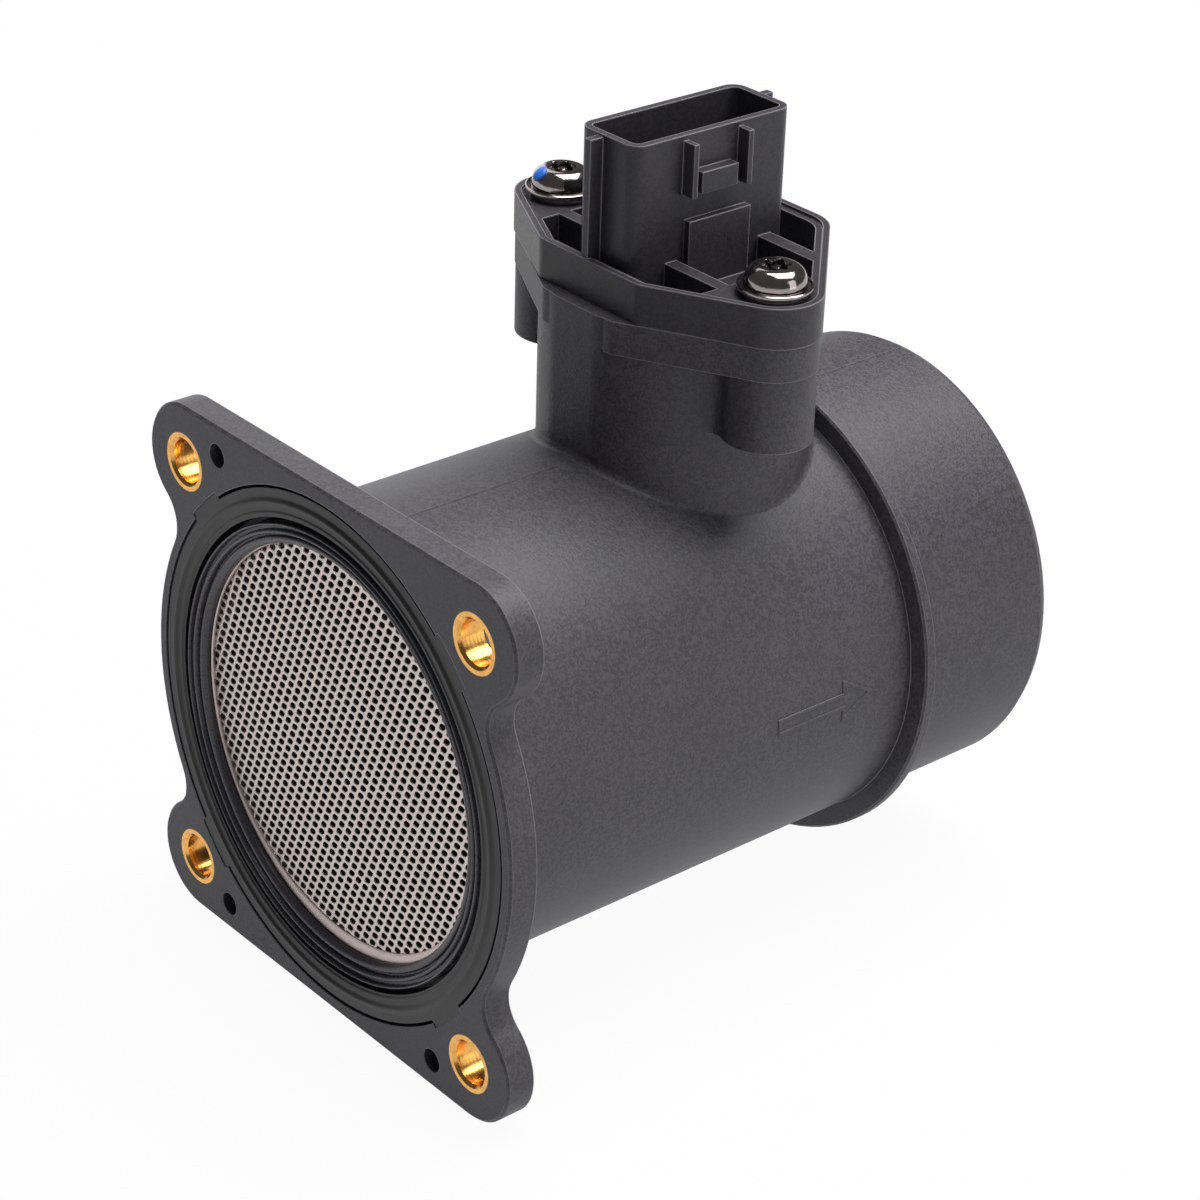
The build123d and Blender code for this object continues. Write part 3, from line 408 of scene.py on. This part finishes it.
class SENSOR_OT_finish_parts(bpy.types.Operator):
    """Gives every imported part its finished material"""
    bl_idname = "sensor.finish_parts"
    bl_label = "Finish Packed Parts"

    def execute(self, context):
        colours = context.scene.sensor_colours
        # Glass-filled nylon: satin charcoal, visibly grained, with a painted highlight along its edges
        housing = moulded_plastic("glass_filled_nylon_spark_eroded", colours.housing, grain_mm=0.42,
                                  roughness=0.5, relief_mm=0.1, edge_highlight_gain=4.2, contrast=0.3)
        # Polyester of the module: smoother and darker, with a strong painted highlight along its rims
        case = moulded_plastic("moulded_polyester_case", colours.case, grain_mm=0.38, roughness=0.4,
                               relief_mm=0.05, edge_highlight_gain=6.5, contrast=0.16, ior=1.36, edge_round_mm=0.42)
        # The same polyester, coloured darker than the case as painted shade for the bore
        shaded_duct = moulded_plastic("moulded_polyester_duct_painted_shade", colours.shaded_duct, grain_mm=0.3, roughness=0.5,
                               relief_mm=0.04)
        rubber = moulded_rubber(colours.rubber)
        # Nylon polished in the tool: a nearly smooth, glossier lip that the gasket's operator looks up
        moulded_plastic("smooth_nylon_lip", colours.housing, grain_mm=0.42, roughness=0.3,
                        relief_mm=0.01, contrast=0.05)
        brass = turned_brass(colours.brass)
        # Rolled stainless sheet: pale, with a soft broad sheen
        rim = bright_metal("rolled_stainless_steel", colours.steel, low=0.42, high=0.6, scale_mm=3.0)
        # Chromated steel: dark warm mirror with slight waves
        screw = bright_metal("black_chromated_steel", colours.screw, low=0.06, high=0.2, scale_mm=1.5,
                             relief_mm=0.12)
        # Tin plate: bright, faintly warm
        pins = bright_metal("tin_plated_bronze", linear("#cfccc4"), low=0.2, high=0.35, scale_mm=1.5)
        # Drawn platinum: bright, neutral
        platinum = bright_metal("drawn_platinum_wire", linear("#c9c9cc"), low=0.2, high=0.3, scale_mm=0.6)
        # Blanked aluminium: satin, cool grey
        plate = bright_metal("blanked_aluminium_plate", linear("#c4c7cb"), low=0.32, high=0.5, scale_mm=2.5)
        # Fired alumina: matt, off-white
        board = plain_finish("fired_alumina_board", linear("#dcdcd4"), roughness=0.6, scale_mm=2.0)
        # Glazed bead: dark green glass with a sharp highlight
        bead = plain_finish("glazed_thermistor_bead", linear("#1a2b24"), roughness=0.15, scale_mm=1.0)
        finishes = {
            "housing": housing, "module_case": case, "sensing_duct": shaded_duct, "duct_lid": shaded_duct,
            "module_seal": rubber, "flange_gasket": rubber, "screen_rim": rim, "inlet_screen": rim,
            "sensing_posts": rim, "module_screws": screw, "flat_washers": screw, "screw_inserts": brass,
            "hot_wire": platinum, "cold_wire": platinum, "base_plate": plate, "circuit_board": board,
            "air_temperature_bead": bead,
        }
        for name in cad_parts:
            if name.startswith("flange_bush"):
                finishes[name] = brass
            if name.startswith("terminal"):
                finishes[name] = pins
        missing = sorted(set(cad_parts) - set(finishes))
        if missing:
            raise RuntimeError(f"no finish for {missing}")
        for name, material in finishes.items():
            paint_node(name, material)
        return {"FINISHED"}


# ======================================================================================
# Rolled wire screen at the inlet
# ======================================================================================

# From one hole of the screen to the next along its two rows, as (across, up) in millimetres
HOLE_STEPS = np.array([(1.804, -0.434), (0.685, 1.687)]) * MM
HOLE_SIDES = 12
CELL_MARGIN = 1.3 * MM  # how far past the screen's edge cells are still made, before they are drawn in
EDGE_TAPER = 0.1 * MM  # width over which the net thins to nothing at its edge
SHOULDER = 0.22  # place of a strand's shoulder, from 0 at the hole to 1 at the cell's edge
# Heights of the net's surface over its middle, as shares of half its thickness
CROSSING_RELIEF, STRAND_RELIEF, SHOULDER_RELIEF = 1.0, 0.72, 0.78
NET_DEPTH = 0.65 * MM  # the net's middle behind the front of its rim


def screen_mesh(reach, middle, hole_width, hole_height, hole_angle, thickness):
    """Wire cloth that was rolled until its crossings ran together, as one net. It is closed but for
    its thin outer edge, where cut cells leave open and doubled edges.

    Each hole has its own cell, a parallelogram between its neighbours' cells. From the hole to the
    cell's edge, place = hole centre + ellipse x (1 - t) + edge x t, and the surface stands
    thickness / 2 x relief from the middle: 0 in the hole, more on a strand, 1 at a crossing. Past the
    reach, points are drawn in to it and the net thins to nothing."""
    count = int(reach / np.linalg.norm(HOLE_STEPS[0])) * 2 + 4  # more than the disc needs either way
    span = np.arange(-count, count + 1)
    centres = (span[:, None, None] * HOLE_STEPS[0] + span[None, :, None] * HOLE_STEPS[1]).reshape(-1, 2)
    centres = centres[np.linalg.norm(centres, axis=1) < reach + CELL_MARGIN]
    side = np.arange(3) / 3 - 0.5
    along = np.concatenate([side, [0.5] * 3, -side, [-0.5] * 3])
    across = np.concatenate([[-0.5] * 3, side, [0.5] * 3, -side])
    edge = along[:, None] * HOLE_STEPS[0] + across[:, None] * HOLE_STEPS[1]
    long_axis = np.array([math.cos(hole_angle), math.sin(hole_angle)])
    short_axis = np.array([-long_axis[1], long_axis[0]])
    turn = np.arctan2(edge @ short_axis / hole_height, edge @ long_axis / hole_width)
    hole = (np.outer(np.cos(turn), long_axis) * hole_width
            + np.outer(np.sin(turn), short_axis) * hole_height) / 2
    shoulder = hole + SHOULDER * (edge - hole)
    at_crossing = np.isclose(np.abs(along), np.abs(across))
    crest = np.where(at_crossing, CROSSING_RELIEF, STRAND_RELIEF)
    strips = [(edge, crest), (shoulder, SHOULDER_RELIEF), (hole, 0.0), (shoulder, -SHOULDER_RELIEF),
              (edge, -crest)]
    flat = np.stack([strip for strip, _ in strips])
    relief = np.stack([np.broadcast_to(level, HOLE_SIDES) for _, level in strips])
    place = centres[:, None, None, :] + flat
    distance = np.linalg.norm(place, axis=-1)
    inside = np.clip((reach - distance) / EDGE_TAPER, 0, 1)
    place = place * np.minimum(1, reach / np.maximum(distance, 1e-9))[..., None]
    depth = middle - inside * relief * thickness / 2
    points = np.stack([place[..., 0], depth, place[..., 1]], -1)
    index = np.arange(len(strips) * HOLE_SIDES).reshape(len(strips), HOLE_SIDES)
    ahead = np.roll(index, -1, axis=1)
    cell = np.stack([index[:-1], index[1:], ahead[1:], ahead[:-1]], -1).reshape(-1, 4)
    quads = np.arange(len(centres))[:, None, None] * index.size + cell
    return mesh_from_arrays("rolled_wire_screen", points.reshape(-1, 3), quads.reshape(-1, 4),
                            smooth_angle=80.0)


def rim_profile(angle):
    """Section of the rolled rim at one angle: (radius, flow) points round a band whose face slopes
    in and back. With low = ((1 - sin angle) / 2)^6, its visible width is 0.15 mm + 1.75 mm x low,
    so that it is widest at the bottom."""
    narrow, extra, sharpness = 0.15, 1.75, 6
    low = (0.5 - 0.5 * math.sin(angle)) ** sharpness
    width = (narrow + extra * low) * MM
    outer, lip, front, back = RIM_HIGH.x, RIM_HIGH.x - 0.5 * MM, RIM_LOW.y, RIM_HIGH.y
    inner, drop = lip - width, (0.3 + 0.1 * low) * MM
    return [(outer, back), (outer, front + 0.1 * MM), (outer - 0.1 * MM, front), (lip, front),
            (lip - 0.3 * width, front + 0.15 * drop), (lip - 0.7 * width, front + 0.5 * drop),
            (inner + 0.05 * width, front + 0.8 * drop), (inner, front + drop),
            (inner, front + 1.2 * MM), (inner + 0.1 * width, back)]


class SENSOR_OT_inlet_screen(bpy.types.Operator):
    """Makes the fine wire screen at the inlet and rolls its rim"""
    bl_idname = "sensor.inlet_screen"
    bl_label = "Inlet Screen"

    def execute(self, context):
        sizes = context.scene.sensor_sizes
        colours = context.scene.sensor_colours
        # Rolled stainless wire: pale and warm, with a soft sheen
        wire = bright_metal("rolled_stainless_wire_cloth", colours.wire, low=0.42, high=0.56, scale_mm=1.0)
        net = screen_mesh(SCREEN_HIGH.x - 0.1 * MM, RIM_LOW.y + NET_DEPTH, sizes.hole_width,
                          sizes.hole_height, sizes.hole_angle, sizes.screen_thickness)
        add_piece("rolled_wire_screen", net, wire, ("inlet_screen",))
        rolled_rim = turned_ring("rolled_rim", [rim_profile(angle) for angle in full_turn(RING_SIDES)])
        add_piece("rolled_rim", rolled_rim, bpy.data.materials["rolled_stainless_steel"],
                  ("screen_rim",))
        return {"FINISHED"}


# ======================================================================================
# Gasket and the ribs inside it
# ======================================================================================

def half_cosine(place, middle, half_width):
    """Bump of height 1: (1 + cos(pi (place - middle) / half width)) / 2, and 0 past its half width."""
    share = np.clip((place - middle) / half_width, -1, 1)
    return 0.5 + 0.5 * np.cos(np.pi * share)


def gasket_mesh(bead_height):
    """Closed ring of rubber with a flat shoulder outside, one main bead and a fine inner ridge.

    Radius runs from the inside to the outside. The face stands at the shoulder's flow, less bead
    height x half cosine round the bead, less ridge height x half cosine round the ridge, and plus a
    slight drop at its inner edge. On a tab the outside is drawn out to the tab's reach."""
    inner, outer, tab_reach, tab_half = 40.2 * MM, 45.05 * MM, 46.47 * MM, 4.67 * MM
    bead_r, bead_half = 42.75 * MM, 0.95 * MM
    ridge_r, ridge_half, ridge_height = 40.9 * MM, 0.5 * MM, 0.24 * MM
    edge_half, edge_drop = 1.8 * MM, 0.14 * MM
    inset = 0.02 * MM
    sides, face_points = 960, 49
    front, back = GASKET_LOW.y, GASKET_HIGH.y
    angles = full_turn(sides)
    from_tab = angles % (np.pi / 2) - np.pi / 4
    outside = np.where(np.abs(np.sin(from_tab)) * outer < tab_half, tab_reach, outer)
    face_r = np.linspace(inner, outer, face_points)
    shoulder = front + bead_height + inset
    face = shoulder + edge_drop * half_cosine(face_r, inner, edge_half)
    face = face - bead_height * half_cosine(face_r, bead_r, bead_half)
    face = face - ridge_height * half_cosine(face_r, ridge_r, ridge_half)
    radius = np.concatenate([[inner], face_r, [outer, outer]])
    flow = np.concatenate([[back], face, [0, 0]])
    ring_r = np.broadcast_to(radius, (len(angles), len(radius))).copy()
    ring_y = np.broadcast_to(flow, ring_r.shape).copy()
    ring_r[:, -2:] = outside[:, None]
    ring_y[:, -2] = shoulder
    ring_y[:, -1] = back
    points = np.stack([ring_r * np.cos(angles)[:, None], ring_y, ring_r * np.sin(angles)[:, None]], -1)
    return grid_mesh("ridged_gasket", points, wrap_u=True, wrap_v=True, smooth_angle=35.0)


# Section of the ribs between gasket and screen, from the outside in: (radius, flow) in millimetres.
# A fine rib, a groove, a second rib, a deep groove and a broad rounded lip over the screen's rim.
RIB_SECTION = (
    (39.25, 1.8), (39.28, 0.5), (39.2, 0.2), (39.06, 0.08), (38.92, 0.14), (38.8, 0.4), (38.7, 1.1),
    (38.15, 1.1), (38.05, 0.55), (37.95, 0.38), (37.75, 0.3), (37.55, 0.36), (37.4, 0.6), (37.3, 1.5),
    (36.95, 1.5), (36.85, 1.05), (36.7, 0.86), (36.45, 0.8), (36.1, 0.88), (35.8, 1.1), (35.58, 1.4),
    (35.46, 1.75), (35.5, 2.1), (35.7, 2.22), (37.6, 2.22), (37.75, 1.8))


class SENSOR_OT_gasket(bpy.types.Operator):
    """Moulds the beaded rubber gasket with its four tabs, and the ribs between it and the screen"""
    bl_idname = "sensor.gasket"
    bl_label = "Flange Gasket"

    def execute(self, context):
        sizes = context.scene.sensor_sizes
        add_piece("ridged_gasket", gasket_mesh(sizes.bead_height),
                  bpy.data.materials["moulded_nitrile_rubber"], ("flange_gasket",))
        ribs = turned_ring("screen_seat_ribs", np.array(RIB_SECTION) * MM)
        add_piece("screen_seat_ribs", ribs, bpy.data.materials["smooth_nylon_lip"])
        return {"FINISHED"}


# ======================================================================================
# Module screws
# ======================================================================================

FLANGE_R, FLANGE_T, DOME_R, FLAT_R = 6.2 * MM, 0.8 * MM, 5.1 * MM, 2.55 * MM
DOME_POWER = 2.3
HEAD_SIDES, DOME_RINGS, SHANK_SIDES, SHANK_RINGS = 96, 18, 24, 140
RECESS_DEPTH, PIN_R = 1.75 * MM, 0.72 * MM
THREAD_PITCH, THREAD_ROOT_R, THREAD_DEPTH, TIP_R = 0.7 * MM, 1.75 * MM, 0.25 * MM, 1.4 * MM
DOT_OFFSET = 4.3 * MM  # the paint mark's place, from the screw's axis


def dome_height(radius):
    """Height of the screw's dome over the washer: flange + rise x (1 - out^p)^(1/p), where p is the
    dome's power and out is 0 at the flat's edge and 1 at the dome's foot."""
    rise = SCREWS_HIGH.z - WASHERS_HIGH.z - FLANGE_T
    out = np.clip((radius - FLAT_R) / (DOME_R - FLAT_R), 0, 1)
    return FLANGE_T + rise * (1 - out ** DOME_POWER) ** (1 / DOME_POWER)


def screw_head_points(centre_x, centre_y, recess):
    """Head of a tamper-proof screw: a rolled flange, a narrow groove, and a dome with a six-lobed
    recess and a pin.

    The recess wall's radius is recess x (0.86 + 0.14 cos 6a), a round star."""
    low, top = WASHERS_HIGH.z, SCREWS_HIGH.z
    angles = full_turn(HEAD_SIDES)
    floor = top - RECESS_DEPTH
    foot = low + FLANGE_T
    groove = foot - 0.3 * MM
    pin_top = top - 0.3 * MM
    rings = [(0.0, low), (FLANGE_R - 0.25 * MM, low), (FLANGE_R - 0.05 * MM, low + 0.15 * MM),
             (FLANGE_R, low + 0.4 * MM), (FLANGE_R - 0.08 * MM, foot - 0.1 * MM),
             (FLANGE_R - 0.25 * MM, foot), (DOME_R + 0.7 * MM, foot - 0.02 * MM),
             (DOME_R + 0.55 * MM, groove), (DOME_R, groove)]
    dome = [FLAT_R + (DOME_R - FLAT_R) * math.cos(a) for a in np.linspace(0, math.pi / 2, DOME_RINGS)]
    rings += [(r, low + dome_height(r)) for r in dome]
    lobed = [(recess * 1.05, top), (recess, top - 0.12 * MM), (recess * 0.97, floor)]
    pin = [(PIN_R * 1.2, floor), (PIN_R, floor + 0.1 * MM), (PIN_R, top - 0.45 * MM),
           (PIN_R * 0.8, pin_top), (0.0, pin_top)]
    lobes = 0.86 + 0.14 * np.cos(6 * angles)
    columns = [(np.full(HEAD_SIDES, r), z) for r, z in rings] + [(r * lobes, z) for r, z in lobed]
    columns += [(np.full(HEAD_SIDES, r), z) for r, z in pin]
    radius = np.stack([column[0] for column in columns], 1)
    height = np.broadcast_to([column[1] for column in columns], radius.shape)
    return np.stack([centre_x + radius * np.cos(angles)[:, None],
                     centre_y + radius * np.sin(angles)[:, None], height], -1)


def screw_shank_points(centre_x, centre_y):
    """M4 thread: radius = root radius + thread depth x a triangle wave of (height / pitch - turn)."""
    low, high = SCREWS_LOW.z, WASHERS_HIGH.z + 0.1 * MM
    angles = full_turn(SHANK_SIDES)
    height = np.linspace(low, high, SHANK_RINGS)
    phase = (height[None, :] / THREAD_PITCH - angles[:, None] / (2 * np.pi)) % 1.0
    radius = THREAD_ROOT_R + THREAD_DEPTH * (1 - np.abs(2 * phase - 1))
    radius[:, 0] = radius[:, -1] = 0.0
    radius[:, 1] = TIP_R
    return np.stack([centre_x + radius * np.cos(angles)[:, None],
                     centre_y + radius * np.sin(angles)[:, None],
                     np.broadcast_to(height, radius.shape)], -1)


def paint_dot_mesh(screw, radius):
    """Drop of paint on the dome's flank, an egg-shaped blob that lies flat against it:
    place = centre + tall x cos(polar) + wide x sin(polar) cos(turn) + thick x sin(polar) sin(turn)."""
    out = Vector((-0.165, -0.986, 0.0))
    place = screw + out * DOT_OFFSET
    place.z = WASHERS_HIGH.z + float(dome_height(DOT_OFFSET))
    thick = (out + Vector((0, 0, 1))).normalized()
    wide = Vector((0, 0, 1)).cross(out).normalized()
    tall = thick.cross(wide)
    polar = np.linspace(0, np.pi, 21)[None, :, None]
    turn = full_turn(40)[:, None, None]
    points = (np.array(place) + np.array(tall) * np.cos(polar) * radius * 1.15
              + np.array(wide) * np.sin(polar) * np.cos(turn) * radius
              + np.array(thick) * np.sin(polar) * np.sin(turn) * radius * 0.45)
    return grid_mesh("tightening_mark", points, wrap_u=True)


class SENSOR_OT_module_screws(bpy.types.Operator):
    """Makes both dome-headed module screws and the paint mark on the left one"""
    bl_idname = "sensor.module_screws"
    bl_label = "Module Screws"

    def execute(self, context):
        sizes = context.scene.sensor_sizes
        steel = bpy.data.materials["black_chromated_steel"]
        offset = (SCREWS_HIGH.x - SCREWS_LOW.x) / 2 - FLANGE_R
        flow = (SCREWS_LOW.y + SCREWS_HIGH.y) / 2
        for side, name in ((-1, "left"), (1, "right")):
            head = grid_mesh(f"screw_head_{name}", screw_head_points(side * offset, flow, sizes.screw_recess),
                             wrap_u=True, smooth_angle=30.0)
            add_piece(f"screw_head_{name}", head, steel, ("module_screws",))
            shank = grid_mesh(f"screw_shank_{name}", screw_shank_points(side * offset, flow),
                              wrap_u=True, smooth_angle=50.0)
            add_piece(f"screw_shank_{name}", shank, steel, ("module_screws",))
        # Brushed-on lacquer: an even, slightly glossy blue
        paint = plain_finish("tightening_mark_paint", context.scene.sensor_colours.paint, roughness=0.4,
                             scale_mm=0.8)
        dot = paint_dot_mesh(Vector((-offset, flow, 0)), sizes.paint_dot)
        add_piece("tightening_mark", dot, paint)
        return {"FINISHED"}


# ======================================================================================
# Marks on the moulding
# ======================================================================================

TUBE_R, SPIGOT_R = 39.7 * MM, 40.0 * MM
SINK = 0.05 * MM  # how far a mark's edges lie below the tube's surface

# Corners of the flow arrow's outline, as (arc, flow) in millimetres, on the tube's right side
ARROW_OUTLINE = ((3.2, 62.5), (3.2, 77.0), (5.4, 77.0), (2.0, 83.0), (-1.4, 77.0), (0.8, 77.0), (0.8, 62.5))

# The parting lines run along the flow near the top: name, start and end in millimetres, and radius
PARTING_ANGLE = math.radians(87.5)
PARTING_WIDTH, PARTING_HEIGHT, PARTING_POINTS = 0.4 * MM, 0.2 * MM, 24
PARTING_LINES = (("tube_parting_line", 6.5, 46.0, TUBE_R), ("spigot_parting_line", 97.0, 123.5, SPIGOT_R))


def raised_line(path, width, height, closed, tube_r):
    """Half-round ridge along a path of (angle, flow) on the tube.

    Across the ridge, offset = width / 2 x cos(b) and rise = height x sin(b), less the sink; the
    offset lies square to the path in the tube's unrolled surface. A path that isn't closed leaves
    the ridge open at both ends."""
    path = np.asarray(path, float)
    ahead = np.roll(path, -1, axis=0) - path
    behind = path - np.roll(path, 1, axis=0)
    if not closed:
        ahead[-1], behind[0] = behind[-1], ahead[0]
    ahead /= np.linalg.norm(ahead, axis=1)[:, None]
    behind /= np.linalg.norm(behind, axis=1)[:, None]
    mean = ahead + behind
    mean /= np.linalg.norm(mean, axis=1)[:, None]
    square = np.stack([-mean[:, 1], mean[:, 0]], -1) / np.sum(mean * ahead, axis=1)[:, None]
    bend = np.linspace(0, np.pi, 7)
    offset = np.cos(bend) * width / 2
    rise = np.sin(bend) * height - SINK
    flat = path[:, None, :] + square[:, None, :] * offset[None, :, None]
    return flat[..., 0], flat[..., 1], np.broadcast_to(tube_r + rise, flat.shape[:2])


def rolled(arc, flow, radius, tube_r):
    """Unrolled (arc, flow) places back on the tube: x = r cos(arc / tube radius), z = r sin(...)."""
    turn = arc / tube_r
    return np.stack([radius * np.cos(turn), flow, radius * np.sin(turn)], -1)


class SENSOR_OT_tube_marks(bpy.types.Operator):
    """Adds the flow arrow's outline and the mould's parting lines"""
    bl_idname = "sensor.tube_marks"
    bl_label = "Tube Marks"

    def execute(self, context):
        sizes = context.scene.sensor_sizes
        plastic = bpy.data.materials["glass_filled_nylon_spark_eroded"]
        outline = np.array(ARROW_OUTLINE) * MM
        arc, flow, radius = raised_line(outline, sizes.mark_width, sizes.mark_height, True, TUBE_R)
        arrow = grid_mesh("flow_arrow", rolled(arc, flow, radius, TUBE_R), wrap_u=True, wrap_v=True)
        add_piece("flow_arrow", arrow, plastic)
        for name, start, end, tube_r in PARTING_LINES:
            flow = np.linspace(start, end, PARTING_POINTS) * MM
            path = np.stack([np.full(len(flow), PARTING_ANGLE * tube_r), flow], -1)
            arc, flow, radius = raised_line(path, PARTING_WIDTH, PARTING_HEIGHT, False, tube_r)
            line = grid_mesh(name, rolled(arc, flow, radius, tube_r), wrap_v=True)
            add_piece(name, line, plastic)
        return {"FINISHED"}


# ======================================================================================
# Studio
# ======================================================================================

LAMP_AIM = Vector((0.0, 0.06, 0.01))
FLOOR_HALF = 4.0
FLOOR_GLOW = 0.95  # share of the floor's whiteness that comes from its own glow; the rest takes the shadow


class SENSOR_OT_studio(bpy.types.Operator):
    """Sets up floor, lamps, even surrounding light and camera"""
    bl_idname = "sensor.studio"
    bl_label = "Studio"

    def execute(self, context):
        studio = context.scene.sensor_studio
        make_floor()
        make_world(studio.ambient)
        add_softbox("overhead_softbox", direction=(0.1, 0.3, 1.0), distance=1.1, size=(0.9, 0.9),
                    power=studio.overhead)
        add_softbox("left_softbox", direction=(-0.95, 0.3, 0.45), distance=1.0, size=(0.6, 0.9),
                    power=studio.left)
        add_softbox("right_softbox", direction=(0.95, 0.35, 0.25), distance=1.0, size=(0.4, 0.8),
                    power=studio.right)
        make_camera(studio)
        context.scene.view_settings.view_transform = "Standard"
        return {"FINISHED"}


def make_floor():
    """White studio floor at the part's lowest point, large enough to fill the view. To the camera, to
    metal and through glass it glows white, and its matt share keeps the part's soft shadow."""
    mesh = bpy.data.meshes.new("studio_floor")
    half, level = FLOOR_HALF, CAD_BOX[0].z
    corners = [(-half, -half, level), (half, -half, level), (half, half, level), (-half, half, level)]
    mesh.from_pydata(corners, [], [(0, 1, 2, 3)])
    floor = bpy.data.objects.new("studio_floor", mesh)
    bpy.context.scene.collection.objects.link(floor)
    material, tree, output = new_material("white_studio_floor")
    path = add_node(tree, "LightPath")
    seen = add_node(tree, "Math", {"operation": "MAXIMUM"}, {
        0: path.outputs["Is Camera Ray"], 1: path.outputs["Is Glossy Ray"]})
    seen = add_node(tree, "Math", {"operation": "MAXIMUM"}, {
        0: seen.outputs[0], 1: path.outputs["Is Transmission Ray"]})
    share = add_node(tree, "Math", {"operation": "MULTIPLY"}, {0: seen.outputs[0], 1: FLOOR_GLOW})
    diffuse = add_node(tree, "BsdfDiffuse", None, {"Color": linear("#d8d8d8")})
    glow = add_node(tree, "Emission", None, {"Color": (1.0, 1.0, 1.0), "Strength": 1.0})
    mixed = add_node(tree, "MixShader", None, {
        0: share.outputs[0], 1: diffuse.outputs[0], 2: glow.outputs[0]})
    tree.links.new(mixed.outputs[0], output.inputs["Surface"])
    mesh.materials.append(material)


def make_world(strength):
    """White surroundings for the camera alone, and a dim even light for everything else."""
    world = bpy.data.worlds.new("studio_surroundings")
    bpy.context.scene.world = world
    world.use_nodes = True
    tree = world.node_tree
    tree.nodes.clear()
    path = add_node(tree, "LightPath")
    level = add_node(tree, "MapRange", None, {
        "Value": path.outputs["Is Camera Ray"], "To Min": strength, "To Max": 1.0})
    light = add_node(tree, "Background", None, {
        "Color": (1.0, 1.0, 1.0), "Strength": level.outputs["Result"]})
    output = add_node(tree, "OutputWorld")
    tree.links.new(light.outputs[0], output.inputs["Surface"])


def add_softbox(name, direction, distance, size, power):
    """Rectangular soft lamp that faces the middle of the part from a direction, sizes in metres."""
    lamp = bpy.data.lights.new(name, "AREA")
    lamp.shape = "RECTANGLE"
    lamp.size, lamp.size_y = size
    lamp.energy = power
    holder = bpy.data.objects.new(name, lamp)
    bpy.context.scene.collection.objects.link(holder)
    back = Vector(direction).normalized()
    holder.location = LAMP_AIM + back * distance
    holder.rotation_mode = "QUATERNION"
    holder.rotation_quaternion = (-back).to_track_quat("-Z", "Y")


def make_camera(studio):
    """Camera on its azimuth, elevation and distance from the aim point, with its roll."""
    data = bpy.data.cameras.new("studio_camera")
    data.sensor_width = 36.0
    data.lens = studio.focal_length
    data.clip_start, data.clip_end = 0.01, 50.0
    camera = bpy.data.objects.new("studio_camera", data)
    bpy.context.scene.collection.objects.link(camera)
    azimuth, elevation = studio.azimuth, studio.elevation
    out = math.cos(elevation)
    back = Vector((math.sin(azimuth) * out, -math.cos(azimuth) * out, math.sin(elevation)))
    camera.location = Vector(studio.aim) + back * studio.distance
    camera.rotation_mode = "QUATERNION"
    turn = (-back).to_track_quat("-Z", "Y")
    turn.rotate(Quaternion(back, studio.roll))
    camera.rotation_quaternion = turn
    bpy.context.scene.camera = camera


# ======================================================================================
# Panel and registration
# ======================================================================================

class SENSOR_PT_panel(bpy.types.Panel):
    """Lists the sizes, colours and steps of the airflow sensor"""
    bl_idname = "SENSOR_PT_panel"
    bl_label = "Airflow Sensor"
    bl_space_type = "VIEW_3D"
    bl_region_type = "UI"
    bl_category = "Airflow Sensor"

    def draw(self, context):
        layout = self.layout
        scene = context.scene
        for group in (scene.sensor_sizes, scene.sensor_colours, scene.sensor_studio):
            box = layout.box()
            for name in group.__annotations__:
                box.prop(group, name)
        for step in STEPS:
            layout.operator(step.bl_idname)


GROUPS = {"sensor_sizes": SensorSizes, "sensor_colours": SensorColours, "sensor_studio": StudioSettings}
STEPS = (SENSOR_OT_finish_parts, SENSOR_OT_inlet_screen, SENSOR_OT_gasket, SENSOR_OT_module_screws,
         SENSOR_OT_tube_marks, SENSOR_OT_studio)


def register():
    for group in GROUPS.values():
        bpy.utils.register_class(group)
    for name, group in GROUPS.items():
        setattr(bpy.types.Scene, name, PointerProperty(type=group))
    for step in (*STEPS, SENSOR_PT_panel):
        bpy.utils.register_class(step)


def unregister():
    for step in reversed((*STEPS, SENSOR_PT_panel)):
        bpy.utils.unregister_class(step)
    for name in GROUPS:
        delattr(bpy.types.Scene, name)
    for group in reversed(GROUPS.values()):
        bpy.utils.unregister_class(group)


def main():
    """Registers the add-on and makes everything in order."""
    register()
    bpy.ops.sensor.finish_parts()
    bpy.ops.sensor.inlet_screen()
    bpy.ops.sensor.gasket()
    bpy.ops.sensor.module_screws()
    bpy.ops.sensor.tube_marks()
    bpy.ops.sensor.studio()


if __name__ == "__main__":
    main()
